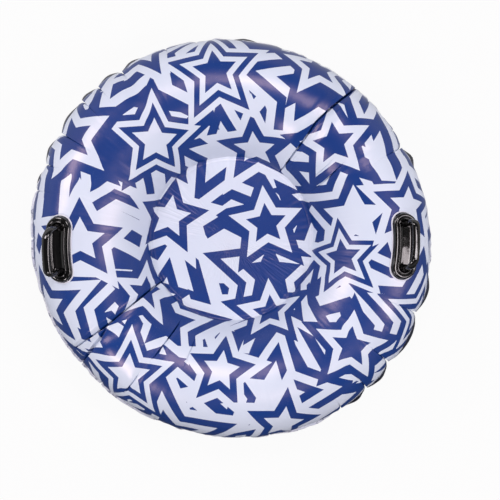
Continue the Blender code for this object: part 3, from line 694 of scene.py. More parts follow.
def pinches(distance, angle):
    """Depth and slide of all the puckers at the rim; at the seam itself nothing slides."""
    from_rim = WALL_LENGTH - distance
    total, slid = 0.0, 0.0
    for degrees, deep, reach, side in PINCHES:
        away = angle_from(angle, math.radians(degrees)) * RIM_RADIUS
        deep = deep * hump(from_rim, reach)
        depth, slide = pleat(away, 0.9 * deep, 0.7 * deep, side)
        lobe_end = 0.7 * deep * np.exp(-np.abs(away) / 0.012) * hump(from_rim, 0.05)
        total, slid = total + depth + lobe_end, slid + slide
    return total, slid


print("widest hidden strip:", max(hidden for _, hidden, _ in CREASES))

# %% [markdown]
# Wrinkles need no list of places. Each kind is a sum of waves round the ring. Their counts
# are whole numbers, so that the pattern closes on itself, and share no factor, so that it
# doesn't repeat on the way.


# %% Wrinkles
def ripples(angle, counts, phase):
    """A sum of waves round the ring that looks random but closes on itself."""
    total = 0.0
    for step, count in enumerate(counts):
        total = total + np.sin(count * angle + phase * (step + 1) ** 2)
    return total / len(counts)


def seam_wrinkles(distance, angle):
    """Fine and broad wrinkles that die away from the seam."""
    from_rim = WALL_LENGTH - distance
    fine = ripples(angle, (61, 97, 139), 1.3) * (0.6 + 0.4 * ripples(angle, (7, 11), 0.6))
    broad = ripples(angle, (23, 31, 43), 2.1)
    return 0.0014 * fine * np.exp(-from_rim / 0.022) + 0.0016 * broad * np.exp(-from_rim / 0.07)


def unevenness(distance, angle):
    """Low swells over the whole ring, and small crimps at the seat weld."""
    share = np.clip(distance / WALL_LENGTH, 0.0, 1.0)
    swell = ripples(angle, (3, 5, 8), 0.9) * np.sin(math.pi * share)
    drift = ripples(angle, (13, 17), 2.7) * np.sin(2 * math.pi * share) ** 2
    at_weld = ripples(angle, (37, 53, 71), 1.9) * np.exp(-np.abs(distance) / 0.03)
    return 0.0016 * swell + 0.0008 * drift + 0.0006 * at_weld


def stretches(angle, places):
    """1 inside stretches of the ring given as middle and half width in degrees, 0 outside."""
    inside = 0.0
    for degrees, half_width in places:
        away = angle_from(angle, math.radians(degrees))
        inside = np.maximum(inside, hump(away, math.radians(half_width), 4))
    return inside


def over_weld(distance, angle):
    """The ring's inner wall swells over the weld, most at the lower left."""
    share = 0.3 + 0.7 * stretches(angle, ((232, 30),))
    return 0.0042 * share * hump(distance - 0.013, 0.009) * (distance > 0)


print("wrinkle at the left end of the seam:", round(float(seam_wrinkles(WALL_LENGTH, math.pi)), 5))

# %% [markdown]
# Where something is welded to a sheet, the sheet stays smooth: under the patch of each
# handle, and round the flange of the valve. Two masks take the relief away there.

# %% Smooth places
# A side is -1 for the left handle and 1 for the right one
HANDLE_REACH = 0.423                # middle of the ring to the middle of a handle
HANDLE_LENGTH = 0.164
HANDLE_WIDTH = 0.065
HANDLE_FORWARD = {-1: 0.027, 1: 0.018}    # how far each stands in front of the middle
HANDLE_TURN = {-1: math.radians(4.1), 1: math.radians(1.9)}
HANDLE_CALM = 0.040                 # smooth sheet on each side of a handle's middle line
HANDLE_BLEND = 0.030                # in which the relief then comes back
VALVE_ANGLE = math.radians(90)
VALVE_DISTANCE = 0.078              # along the lower skin from the seat weld
VALVE_CALM = 0.034                  # smooth sheet round the valve's axis
VALVE_BLEND = 0.020


def handle_place(side):
    """Distance from the seat weld and angle from the X axis of a handle's middle."""
    reach = math.hypot(HANDLE_REACH, HANDLE_FORWARD[side])
    distance = WALL_LENGTH - float(np.interp(-reach, -WALL_RADII, WALL_DISTANCES))
    return distance, math.atan2(HANDLE_FORWARD[side], HANDLE_REACH)


def off_handles(distance, angle):
    """0 under a handle, where the welded patch holds the sheet smooth, and 1 away from it."""
    free = 1.0
    for side in (-1, 1):
        middle_distance, middle = handle_place(side)
        centre = -middle if side > 0 else math.pi + middle
        along = side * angle_from(angle, centre) * HANDLE_REACH
        outward = distance - middle_distance
        turn = side * HANDLE_TURN[side]
        turned_along = along * math.cos(turn) + outward * math.sin(turn)
        turned_outward = outward * math.cos(turn) - along * math.sin(turn)
        beyond = np.maximum(np.abs(turned_along) - (HANDLE_LENGTH - HANDLE_WIDTH) / 2, 0.0)
        away = np.hypot(beyond, turned_outward)
        free = free * smooth_step((away - HANDLE_CALM) / HANDLE_BLEND)
    return free


def off_valve(distance, angle):
    """0 round the valve, whose flange holds the lower sheet smooth, and 1 away from it."""
    along = angle_from(angle, VALVE_ANGLE) * wall_at(VALVE_DISTANCE)[0]
    away = np.hypot(along, distance - VALVE_DISTANCE)
    return smooth_step((away - VALVE_CALM) / VALVE_BLEND)


print("left handle at", [round(value, 4) for value in handle_place(-1)])

# %% [markdown]
# At any place on a sheet all of this relief is added up. The mesh has columns from the middle
# to the rim. They crowd together at the folds and run along them, because a fold that cut
# across them would show steps.


# %% Sheets with their relief
def sheet_points(distance, angle, lower=False):
    """Points on the outside of a sheet with its relief."""
    drawn, slide = pinches(distance, angle)
    proud = unevenness(distance, angle) + seam_wrinkles(distance, angle) - drawn
    if lower:
        proud = proud * off_valve(distance, angle)
    else:
        depth, slid = creases(distance, angle)
        smooth = off_handles(distance, angle)
        proud = (proud - depth + over_weld(distance, angle)) * smooth
        slide = (slide + slid) * smooth
    slide = slide * smooth_step((WALL_LENGTH - distance) / 0.014)
    return skin_points(distance, angle + slide / wall_at(distance)[0], proud, lower)


def crowded_columns(count, closeness=6.0, samples=7201):
    """Angles round the ring, closer together at creases and puckers."""
    fine = np.linspace(0.0, 2 * math.pi, samples)
    density = np.ones_like(fine)
    for side, hidden, places in CREASES:
        centre = math.radians(np.mean([place[1] for place in places])) - side * hidden
        near = hump(angle_from(fine, centre), 0.02 + 1.6 * hidden, 4)
        density = np.maximum(density, 1 + (closeness - 1) * near)
    for degrees, deep, _, side in PINCHES:
        centre = math.radians(degrees) - side * deep
        near = hump(angle_from(fine, centre), 0.012 + 2.4 * deep, 4)
        density = np.maximum(density, 1 + (closeness - 1) * near)
    share = np.concatenate([[0.0], np.cumsum((density[1:] + density[:-1]) / 2)])
    return np.interp(np.arange(count) / count, share / share[-1], fine)


def follow_creases(distance, angle):
    """Bend the columns so that they run along the creases."""
    radius = wall_at(distance)[0]
    bent = angle
    for _, _, places in CREASES:
        radii, degrees, _ = np.array(places).T
        middle = math.radians(degrees.mean())
        centre = np.radians(np.interp(radius, radii, degrees))
        near = smooth_step(1 - np.abs(angle_from(angle, middle)) / math.radians(4.5))
        bent = bent + near * (centre - middle)
    return bent


print("left end of the rim:", [round(float(value), 4)
                               for value in sheet_points(WALL_LENGTH, math.pi)])

# %% [markdown]
# ## Making a mesh from rings of points
# Every surface here is a run of closed rings, so one helper joins rings into faces and makes
# the object. A Solidify modifier then gives a sheet its real thickness, on the inner side,
# so that the outer side stays where the construction model has it.


# %% Mesh helpers
def ring_faces(rings, count, joined=False):
    """Faces between rings of as many points, and from the last to the first if joined."""
    first = np.arange(rings if joined else rings - 1)[:, None] * count
    start = first + np.arange(count)
    following = first + np.roll(np.arange(count), -1)
    faces = np.stack([start, following, following + count, start + count], axis=-1)
    return (faces % (rings * count)).reshape(-1, 4).tolist()


def end_caps(rings, count):
    """A face over the first ring, and one over the last."""
    return [list(range(count))[::-1], list(range((rings - 1) * count, rings * count))]


def mesh_object(name, points, faces, material):
    """A smooth object from points and faces."""
    mesh = bpy.data.meshes.new(name)
    mesh.from_pydata(np.asarray(points, float).reshape(-1, 3).tolist(), [], faces)
    mesh.materials.append(material)
    mesh.shade_smooth()
    piece = bpy.data.objects.new(name, mesh)
    bpy.context.scene.collection.objects.link(piece)
    return piece


def apply_modifiers(piece):
    """Turn a piece into the mesh that its modifiers make."""
    bpy.context.view_layer.update()
    graph = bpy.context.evaluated_depsgraph_get()
    finished = bpy.data.meshes.new_from_object(piece.evaluated_get(graph))
    piece.modifiers.clear()
    piece.data = finished


def combine(piece, other, operation):
    """Join another shape to a piece, or cut it away; the other shape is used up."""
    modifier = piece.modifiers.new(operation.lower(), "BOOLEAN")
    modifier.operation = operation
    modifier.solver = "EXACT"
    modifier.object = other
    apply_modifiers(piece)
    bpy.data.objects.remove(other, do_unlink=True)


def face_outward(piece):
    """Turn every face of a closed piece outward."""
    shape = bmesh.new()
    shape.from_mesh(piece.data)
    bmesh.ops.recalc_face_normals(shape, faces=shape.faces)
    shape.to_mesh(piece.data)
    shape.free()


def round_edges(piece, width):
    """Give a moulding's edges a small radius, and keep its flats flat."""
    modifier = piece.modifiers.new("rounded edges", "BEVEL")
    modifier.width = width
    modifier.segments = 2
    modifier.limit_method = "ANGLE"
    modifier.angle_limit = math.radians(35)
    apply_modifiers(piece)
    piece.data.set_sharp_from_angle(angle=math.radians(50))


def thicken(piece, thickness, offset=-1.0):
    """Give a surface its thickness: all of it inside, or half and half for an offset of 0."""
    modifier = piece.modifiers.new("sheet thickness", "SOLIDIFY")
    modifier.thickness = thickness
    modifier.offset = offset
    apply_modifiers(piece)


def fit_in(piece, body, slot_name, *nodes):
    """Let a piece ride on a body and stand for construction nodes; slot_name is not used."""
    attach(piece, body)
    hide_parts(*nodes)
    print(piece.name, "has", len(piece.data.vertices), "points")


# %% [markdown]
# ## The printed top sheet
# On the real tube one printed sheet covers the ring and the seat, so one mesh does here. Its
# columns run from the middle to the rim. Points crowd together where the sheet bends sharply:
# rows at the weld round the seat and at the rim, columns at the creases and puckers. They
# stay wide on the calm slopes, which keeps the mesh small.

# %% Top sheet
SEAT_HOLE = 0.012                   # the flat face in the very middle
WELD_WIDTH = 0.008                  # band where the sheets are melted together
BEAD_HEIGHT = 0.0007                # melted vinyl along the band's two edges
BEAD_HALF_WIDTH = 0.0014
COLUMNS = crowded_columns(1500)
TOP_ROWS = np.concatenate([
    np.linspace(SEAT_HOLE - SEAT_RADIUS, -0.014, 14),
    np.linspace(-0.0125, 0.0055, 15),
    np.linspace(0.010, WALL_LENGTH - 0.130, 32),
    np.linspace(WALL_LENGTH - 0.126, WALL_LENGTH - 0.053, 24),
    WALL_LENGTH - 0.050 * np.linspace(1.0, 0.0, 22) ** 1.2,
])


def add_flat_map(mesh, distances, angles):
    """A UV map that says where each point lay on the flat sheet."""
    reach = (SEAT_RADIUS + distances).ravel() / MAP_SIZE
    flat = 0.5 + polar(reach, angles.ravel(), 0.0)[:, :2]
    corners = np.zeros(len(mesh.loops), dtype=np.int32)
    mesh.loops.foreach_get("vertex_index", corners)
    layer = mesh.uv_layers.new(name="flat_sheet")
    layer.data.foreach_set("uv", flat[corners].astype(np.float32).ravel())


def weld_beads(distance):
    """Melted vinyl that rises a little along both edges of the weld."""
    return sum(BEAD_HEIGHT * hump(distance + edge, BEAD_HALF_WIDTH) for edge in (0, WELD_WIDTH))


def sheet_object(name, points, material, facing):
    """A surface with a flat middle from rows of points, facing up (1) or down (-1)."""
    rows, count = points.shape[:2]
    faces = ring_faces(rows, count) + end_caps(rows, count)[:1]
    sheet = mesh_object(name, points, faces, material)
    if sheet.data.polygons[0].normal.z * facing < 0:
        sheet.data.flip_normals()
    return sheet


def build_top_sheet():
    distances, angles = np.meshgrid(TOP_ROWS, COLUMNS, indexing="ij")
    angles = follow_creases(distances, angles)
    points = sheet_points(distances, angles)
    points[..., 2] += weld_beads(distances)
    sheet = sheet_object("printed_top_sheet", points, PRINTED, 1)
    add_flat_map(sheet.data, distances, angles)
    thicken(sheet, SHEET)
    return sheet


TOP_SHEET = build_top_sheet()
fit_in(TOP_SHEET, "tube", "printed_vinyl", "upper_skin", "seat_top_sheet")

# %% [markdown]
# ## The bottom sheet
# The underside is the same shape turned over, pressed flat where it rests on the ground. It
# bellies out a little under the rim's puckers, most of all at the upper left and lower right,
# where a sliver of it shows past the rim. The valve stands in a hole in this sheet, so the
# valve's own axes are found first, from the hinges of the construction model.

# %% Axes of the valve
JOINTS = {joint["name"]: joint for joint in frame["joints"]}
PLUG_HINGE_REACH = 0.0262           # valve axis to the plug's hinge line
PLUG_HINGE_HEIGHT = 0.006           # skin to the plug's hinge line
BORE_RADIUS = 0.013
NECK_RADIUS = BORE_RADIUS + 0.0032
NECK_DEPTH = 0.014                  # reaches into the air chamber
HOLE_RADIUS = NECK_RADIUS + GAP     # in the sheet and in the flange


def valve_axes():
    """The valve's own axes: X along the ring, Z out of the skin, down and inward."""
    across = Vector(JOINTS["plug_hinge"]["axis"])
    around = Vector(JOINTS["flap_hinge"]["axis"])
    out = around.cross(across)
    axes = Matrix((around, across, out)).transposed().to_4x4()
    hinge = Vector(JOINTS["plug_hinge"]["pos_m"])
    axes.translation = hinge - around * PLUG_HINGE_REACH - out * PLUG_HINGE_HEIGHT
    return axes


VALVE_AXES = valve_axes()
print("valve at", [round(value, 4) for value in VALVE_AXES.translation])

# %% Bottom sheet
# Middle and half width in degrees of the stretches that belly out, and their share of
# the full depth
BELLIES = (
    (119.5, 3.0, 0.74), (127, 3.2, 0.74), (134.5, 2.6, 0.74), (143, 4.6, 0.74),
    (154, 3.6, 0.74), (163, 2.6, 0.74), (308, 3.2, 1.0), (317, 4.0, 1.0),
    (331, 6.5, 1.0), (345, 4.5, 1.0), (24, 2.5, 1.0), (86, 4.0, 0.85),
)
BELLY_DEPTH = 0.0115
BELLY_DROP = 0.018                  # below the seam
BELLY_HALF_HEIGHT = 0.012
UNDER_COLUMNS = crowded_columns(960)
UNDER_ROWS = np.concatenate([
    np.linspace(SEAT_HOLE - SEAT_RADIUS, -0.012, 10),
    np.linspace(-0.010, 0.006, 7),
    np.linspace(0.014, WALL_LENGTH - 0.060, 36),
    WALL_LENGTH - 0.054 * np.linspace(1.0, 0.0, 18) ** 1.2,
])


def belly(distance, angle):
    """How far the bottom sheet swells outward."""
    rise = hump(WALL_LENGTH - distance - BELLY_DROP, BELLY_HALF_HEIGHT)
    total = 0.0
    for degrees, half_width, share in BELLIES:
        away = angle_from(angle, math.radians(degrees))
        total = total + share * hump(away, math.radians(half_width))
    return BELLY_DEPTH * rise * np.minimum(total, 1.0)


def build_bottom_sheet():
    distances, angles = np.meshgrid(UNDER_ROWS, UNDER_COLUMNS, indexing="ij")
    points = sheet_points(distances, angles, lower=True)
    points = points + polar(belly(distances, angles), angles, 0.0)
    points[..., 2] = np.maximum(points[..., 2], 0.0)
    sheet = sheet_object("dark_bottom_sheet", points, DARK, -1)
    thicken(sheet, SHEET)
    return sheet


def cut_valve_hole(sheet, steps=96):
    """A round hole in which the valve's neck stands."""
    turn = np.linspace(0.0, 2 * math.pi, steps, endpoint=False)
    rings = [polar(HOLE_RADIUS, turn, height) for height in (-NECK_DEPTH, NECK_DEPTH)]
    faces = ring_faces(2, steps) + end_caps(2, steps)
    cutter = mesh_object("valve_hole", rings, faces, DARK)
    cutter.data.transform(VALVE_AXES)
    combine(sheet, cutter, "DIFFERENCE")


BOTTOM_SHEET = build_bottom_sheet()
cut_valve_hole(BOTTOM_SHEET)
fit_in(BOTTOM_SHEET, "tube", "dark_vinyl", "lower_skin", "seat_bottom_sheet")

# %% [markdown]
# ## The outer seam
# Past the weld the two sheets' margins stand out as one stiff pale strip. Nothing stretches
# it, so it ruffles. It hangs down against the ring for most of the way round, and stands out
# on the left, where it shows from above.

# %% Outer seam
SEAM_LAP = 0.005                    # reaches in between the sheets
SEAM_FLANGE = 0.006                 # stands out past the ring
SEAM_HANG = 72                      # degrees below level
# Where it stands out more, and where it is tucked under: degrees and half width in degrees
STANDS_OUT = ((180, 16), (215, 16), (237, 9), (292, 6))
TUCKED_UNDER = ((140, 24), (325, 22), (22, 12))


def seam_droop(angle):
    """How far the seam hangs down, as an angle below level."""
    raised, tucked = stretches(angle, STANDS_OUT), stretches(angle, TUCKED_UNDER)
    droop = SEAM_HANG - 66 * raised + 40 * tucked
    return np.radians(droop + 14 * ripples(angle, (29, 47, 83), 0.7))


def build_seam():
    across = np.concatenate([[-SEAM_LAP, -0.002], np.linspace(0.0, SEAM_FLANGE, 6)])
    out, angles = np.meshgrid(across, COLUMNS, indexing="ij")
    edge = sheet_points(np.full_like(COLUMNS, WALL_LENGTH), COLUMNS)
    reach = np.hypot(edge[:, 0], edge[:, 1])[None, :]
    droop = seam_droop(angles)
    beyond = np.maximum(out, 0.0)
    curl = ripples(angles, (59, 101), 1.1) * 0.0012 * (beyond / SEAM_FLANGE) ** 2
    reach = reach + np.minimum(out, 0.0) + beyond * np.cos(droop)
    points = polar(reach, angles, RIM_HEIGHT - beyond * np.sin(droop) + curl)
    seam = mesh_object("outer_seam_strip", points, ring_faces(len(across), len(COLUMNS)), SEAM)
    thicken(seam, SEAM_THICKNESS, 0.0)
    return seam


SEAM_STRIP = build_seam()
fit_in(SEAM_STRIP, "tube", "seam_vinyl", "outer_seam")

# %% [markdown]
# ## The handles
# A handle is three things: a white patch welded to the sheet, a black dish moulded with two
# raised rims, and an arched grip. All three are drawn on the curved skin: a helper turns a
# place along the handle, outward over the skin and up from it into a point in space.


# %% Points on a handle
NUDGE = 0.001                       # a small step for measuring directions
END_STEPS = 28                      # steps round each end of a handle's outline
SIDE_STEPS = 22                     # steps along each of its sides


def skin_normals(distance, angle, lower=False):
    """Directions straight out of a skin."""
    across = (skin_points(distance + NUDGE, angle, 0.0, lower)
              - skin_points(distance - NUDGE, angle, 0.0, lower))
    around = (skin_points(distance, angle + NUDGE, 0.0, lower)
              - skin_points(distance, angle - NUDGE, 0.0, lower))
    normal = np.cross(around, across)
    normal /= np.linalg.norm(normal, axis=-1, keepdims=True)
    return np.where((normal[..., 2:] > 0) != lower, normal, -normal)


def on_handle(side, along, outward, lift):
    """Points along a handle, outward over the skin, and up from the skin."""
    middle_distance, middle = handle_place(side)
    tilt = HANDLE_TURN[side]
    distance = middle_distance + outward * math.cos(tilt) + side * along * math.sin(tilt)
    along = along * math.cos(tilt) - side * outward * math.sin(tilt)
    turn = np.arcsin(along / wall_at(distance)[0])
    angle = turn - middle if side > 0 else math.pi + middle - turn
    return skin_points(distance, angle) + skin_normals(distance, angle) * lift[..., None]


def across_handle(side, along):
    """Directions straight outward over the skin at places along a handle."""
    level = np.zeros_like(along)
    ahead = (on_handle(side, along, level + NUDGE, level)
             - on_handle(side, along, level - NUDGE, level))
    return ahead / np.linalg.norm(ahead, axis=-1, keepdims=True)


def stadium(half_length, half_width):
    """Points round an outline with two straight sides and two round ends."""
    straight = half_length - half_width
    turns = np.linspace(0.0, math.pi, END_STEPS + 1)
    runs = np.linspace(1.0, -1.0, SIDE_STEPS + 1)[1:-1]
    along = np.concatenate([straight + half_width * np.sin(turns), straight * runs])
    outward = np.concatenate([half_width * np.cos(turns), np.full_like(runs, -half_width)])
    return np.concatenate([along, -along]), np.concatenate([outward, -outward])


def handle_rings(side, rings):
    """Stadium rings on the skin from (inset, lift) pairs, measured from the dish's edge."""
    points = []
    for inset, lift in rings:
        along, outward = stadium(HANDLE_LENGTH / 2 - inset, HANDLE_WIDTH / 2 - inset)
        points.append(on_handle(side, along, outward, np.full_like(along, lift)))
    return np.array(points)


print("handle middle along the skin:", round(handle_place(1)[0], 4))

# %% [markdown]
# The patch is a thin sheet with a soft edge. The dish's section is drawn once, as pairs of
# how far in and how high, from the thin lip over the broad outer roll, down a groove, over a
# narrow inner step and down to the floor. Rolls are half ellipses, so their gloss runs in
# smooth lines.

# %% Patches and dishes
PATCH_BORDER = 0.003                # shows round the dish
PATCH_TOP = SOFT_GAP + SHEET
DISH_BOTTOM = PATCH_TOP + SOFT_GAP
DISH_FLOOR = DISH_BOTTOM + 0.0025
MIDDLE_INSET = 0.94 * HANDLE_WIDTH / 2    # the innermost ring, which one strip of faces fills


def rim_section(start, width, base, far_base, height, steps=9):
    """A rounded rim from base up to height and down to another base."""
    turns = np.linspace(0.0, math.pi, steps)
    low = np.where(turns < math.pi / 2, base, far_base)
    rise = low + (height - low) * np.sin(turns) ** 0.8
    return list(zip(start + width * (1 - np.cos(turns)) / 2, rise))


def dish_section():
    """Inset and lift from the dish's edge over its two rims to the middle of its floor."""
    lip = DISH_BOTTOM + 0.0022
    groove = DISH_BOTTOM + 0.0062
    section = [(0.0, DISH_BOTTOM), (-0.0002, DISH_BOTTOM + 0.0010), (0.0004, lip - 0.0003),
               (0.0012, lip)]
    section += rim_section(0.0014, 0.0112, lip, groove, DISH_BOTTOM + 0.0100)
    section += rim_section(0.0128, 0.0056, groove, DISH_BOTTOM + 0.0050, DISH_BOTTOM + 0.0088)
    section += [(0.0198, DISH_BOTTOM + 0.0036), (0.0212, DISH_FLOOR + 0.0004),
                (0.0230, DISH_FLOOR), (0.0275, DISH_FLOOR), (MIDDLE_INSET, DISH_FLOOR)]
    return section


def close_stadium(first, count):
    """Strips from side to side across one ring, from the tip of one end to the other's."""
    tip = END_STEPS // 2
    faces = []
    for step in range(tip, tip + count // 2):
        corners = [step, step + 1, 2 * tip - step - 1, 2 * tip - step]
        corners = [first + corner % count for corner in corners]
        face = [corner for index, corner in enumerate(corners) if corner not in corners[:index]]
        faces.append(face)
    return faces


def build_patch(side, word):
    edge = -PATCH_BORDER
    rings = [(edge, PATCH_TOP - SHEET), (edge - 0.0002, PATCH_TOP - SHEET / 2),
             (edge + 0.0003, PATCH_TOP), (0.0, PATCH_TOP), (0.008, PATCH_TOP),
             (0.018, PATCH_TOP), (MIDDLE_INSET, PATCH_TOP), (MIDDLE_INSET, PATCH_TOP - SHEET),
             (0.016, PATCH_TOP - SHEET)]
    points = handle_rings(side, rings)
    faces = ring_faces(len(rings), points.shape[1], joined=True)
    return mesh_object(word + "_patch", points, faces, WHITE)


def build_dish(side, word):
    underside = [(MIDDLE_INSET, DISH_BOTTOM), (0.020, DISH_BOTTOM), (0.008, DISH_BOTTOM)]
    section = underside + dish_section()
    points = handle_rings(side, section)
    count = points.shape[1]
    faces = ring_faces(len(section), count)
    faces += close_stadium(0, count) + close_stadium((len(section) - 1) * count, count)
    return mesh_object(word + "_dish", points, faces, BLACK)


# %% [markdown]
# The grip is one arched bar. Its feet spread where they meet the dish's floor, its top is a
# little slimmer in the middle, and its section is a flattened oval with a faint flat on top.
# The section is measured from the bar's own middle line, not over the skin, because the skin's
# normals fan apart and would make the bar wider the higher it stands.

# %% Grips
GRIP_SPAN = 0.118                   # over both legs
GRIP_HEIGHT = 0.056                 # from the skin to the top
GRIP_WIDTH = 0.021
GRIP_THICKNESS = 0.013
GRIP_BEND = 0.017                   # radius of the shoulders
GRIP_SWAY = 0.010                   # the soft grips lean along the handle
GRIP_LEAN = {-1: 0.007, 1: 0.002}   # and outward


def grip_route(base):
    """The grip's middle line as along, lift and heading, foot to foot."""
    foot = GRIP_SPAN / 2 - GRIP_THICKNESS / 2
    top = GRIP_HEIGHT - GRIP_THICKNESS / 2
    shoulder = top - GRIP_BEND
    rise = np.linspace(0.0, 1.0, 12)
    turns = np.linspace(0.0, math.pi / 2, 14)[1:]
    run = np.linspace(-foot + GRIP_BEND, 0.0, 14)[1:]
    along = np.concatenate([np.full_like(rise, -foot),
                            -foot + GRIP_BEND * (1 - np.cos(turns)), run])
    lift = np.concatenate([base + (shoulder - base) * rise ** 1.4,
                           shoulder + GRIP_BEND * np.sin(turns), np.full_like(run, top)])
    heading = np.concatenate([np.full_like(rise, math.pi / 2), math.pi / 2 - turns,
                              np.zeros_like(run)])
    return (np.concatenate([along, -along[-2::-1]]), np.concatenate([lift, lift[-2::-1]]),
            np.concatenate([heading, -heading[-2::-1]]))


def squared(wave):
    """A sine or cosine made a little squarer, which turns a round section into a flatter one."""
    return np.sign(wave) * np.abs(wave) ** 0.85


def build_grip(side, word, sides=28):
    base = DISH_FLOOR + SOFT_GAP
    top = GRIP_HEIGHT - GRIP_THICKNESS / 2
    along, lift, heading = (line[:, None] for line in grip_route(base))
    flare = 1 + 0.30 * hump(lift - base, 0.005)
    waist = 1 - 0.06 * hump(along, 0.030)
    turn = np.linspace(0.0, 2 * math.pi, sides, endpoint=False)[None, :]
    bent = ((lift - base) / (top - base)) ** 2
    along = along + side * GRIP_SWAY * bent
    outward = GRIP_WIDTH / 2 * flare * waist * squared(np.cos(turn))
    depth = GRIP_THICKNESS / 2 * flare * squared(np.sin(turn))
    points = on_handle(side, along - depth * np.sin(heading), np.zeros_like(depth),
                       lift + depth * np.cos(heading))
    shift = outward + GRIP_LEAN[side] * bent
    points = points + across_handle(side, along) * shift[..., None]
    rings = points.shape[0]
    faces = ring_faces(rings, sides) + end_caps(rings, sides)
    return mesh_object(word + "_grip", points, faces, BLACK)


for side, word in ((-1, "left"), (1, "right")):
    for make, part, slot_name in ((build_patch, "patch", "white_vinyl"),
                                  (build_dish, "dish", "black_moulding"),
                                  (build_grip, "grip", "black_moulding")):
        piece = make(side, word)
        face_outward(piece)
        fit_in(piece, "tube", slot_name, word + "_handle_" + part)

# %% [markdown]
# ## The valve
# Under the back of the ring sits a two-way valve. Its neck stands in a hole in the bottom
# sheet, on a round flange that is welded to the sheet. A wide plug closes the neck and lets
# the air out fast. In the plug's middle a small cap closes the passage for blowing up, and
# behind it a soft flap lets air in but not out. All are round mouldings, most with a strap,
# so one helper turns a section round the valve's axis, and lets the outer part of it follow
# the outline of a disc with its strap.

# %% Turned mouldings
# Heights over the skin
FLANGE_BOTTOM, FLANGE_TOP = 0.0005, 0.0015
COLLAR_BOTTOM, COLLAR_TOP = 0.0027, 0.0047
LID_BOTTOM, LID_TOP, SPOUT_TOP = 0.0050, 0.0070, 0.0105
CAP_BOTTOM, CAP_TOP = 0.0108, 0.0124
STOPPER_BOTTOM = -0.0065
FLAP_TOP, FLAP_BOTTOM = -0.0068, -0.0076
# Distances from the valve's axis
COLLAR_RADIUS = 0.021
FLANGE_RADIUS = 0.030
LID_RADIUS = 0.019
SPOUT_RADIUS = 0.0072
PASSAGE_RADIUS = 0.004
CAP_RADIUS = 0.0085
CAP_HINGE_REACH = 0.0118
FLAP_RADIUS = 0.0052
TETHER_WIDTH = 0.009
CAP_TETHER_WIDTH = 0.006
RELIEF = 0.0004                     # depth of the grooves and height of the ridges
ON_OUTLINE = -0.00001               # a radius under 0 is measured from the outline


def strapped(radius, reach, width, towards=0.0, ribs=0, steps=144):
    """Directions round a disc with a strap, and the distance of its outline in each."""
    corner = math.atan2(width / 2, reach)
    root = math.asin(width / 2 / radius)
    own = [towards + sign * turn for sign in (-1, 1) for turn in (corner, root)]
    evenly = np.linspace(0.0, 2 * math.pi, steps, endpoint=False)
    turn = np.unique(np.concatenate([evenly, np.array(own) % (2 * math.pi)]))
    ahead = np.cos(turn - towards)
    beside = np.maximum(np.abs(np.sin(turn - towards)), 1e-6)
    strap = np.minimum(reach / np.maximum(ahead, 0.2), width / 2 / beside)
    disc = radius - RELIEF * np.sin(ribs * turn / 2) ** 2
    return turn, np.where(ahead > 0.2, np.maximum(disc, strap), disc)


def finish_moulding(piece, edge):
    """Place a piece that was made in the valve's axes, and round its edges."""
    piece.data.transform(VALVE_AXES)
    face_outward(piece)
    round_edges(piece, edge)
    return piece


def turned(name, section, material, outline=None, ring=True, edge=0.0003):
    """Turn a section round the valve's axis; radii under 0 run in from the outline."""
    turn, rim = outline or strapped(LID_RADIUS, LID_RADIUS, TETHER_WIDTH)
    points = [polar(radius if radius > 0 else rim + radius, turn, height)
              for radius, height in section]
    faces = ring_faces(len(section), len(turn), joined=ring)
    if not ring:
        faces += end_caps(len(section), len(turn))
    return finish_moulding(mesh_object(name, points, faces, material), edge)


def block(name, low, high, material):
    """A small block with rounded edges between two corners in the valve's axes."""
    low, high = np.array(low), np.array(high)
    corners = [[(low, high)[bit][axis] for axis, bit in enumerate(bits)]
               for bits in np.ndindex(2, 2, 2)]
    faces = [(0, 1, 3, 2), (4, 6, 7, 5), (0, 4, 5, 1), (2, 3, 7, 6), (0, 2, 6, 4), (1, 5, 7, 3)]
    return finish_moulding(mesh_object(name, corners, faces, material), 0.0003)


print("a plain outline has", len(strapped(LID_RADIUS, LID_RADIUS, TETHER_WIDTH)[0]), "points")

# %% [markdown]
# The fixed part comes first: the flange, which follows the sheet and carries a pressed weld
# ring, the neck with its collar, and the ring that holds the plug's strap.


# %% Flange, neck and tether ring
def build_flange(steps=120):
    """The welded flange, drawn on the lower skin round the valve."""
    groove = FLANGE_TOP - RELIEF
    section = ((HOLE_RADIUS, FLANGE_BOTTOM), (0.0232, FLANGE_BOTTOM),
               (FLANGE_RADIUS, FLANGE_BOTTOM), (FLANGE_RADIUS + 0.0002, 0.0010),
               (FLANGE_RADIUS - 0.0003, FLANGE_TOP),
               (0.0282, FLANGE_TOP), (0.0277, groove), (0.0252, groove), (0.0247, FLANGE_TOP),
               (0.0215, FLANGE_TOP), (HOLE_RADIUS + 0.0003, FLANGE_TOP))
    turn = np.linspace(0.0, 2 * math.pi, steps, endpoint=False)
    points = []
    for radius, lift in section:
        distance = VALVE_DISTANCE + radius * np.sin(turn)
        angle = VALVE_ANGLE + radius * np.cos(turn) / wall_at(VALVE_DISTANCE)[0]
        skin = sheet_points(distance, angle, lower=True)
        points.append(skin + skin_normals(distance, angle, lower=True) * lift)
    faces = ring_faces(len(section), steps, joined=True)
    piece = mesh_object("welded_flange", points, faces, CLEAR)
    face_outward(piece)
    return piece


def build_neck():
    groove = COLLAR_TOP - RELIEF
    section = ((BORE_RADIUS, -NECK_DEPTH), (NECK_RADIUS, -NECK_DEPTH),
               (NECK_RADIUS, COLLAR_BOTTOM), (COLLAR_RADIUS, COLLAR_BOTTOM),
               (COLLAR_RADIUS, COLLAR_TOP),
               (0.0188, COLLAR_TOP), (0.0185, groove), (0.0173, groove), (0.0170, COLLAR_TOP),
               (BORE_RADIUS + 0.0005, COLLAR_TOP), (BORE_RADIUS, COLLAR_TOP - 0.0006))
    return turned("neck_moulding", section, VALVE, edge=0.0002)


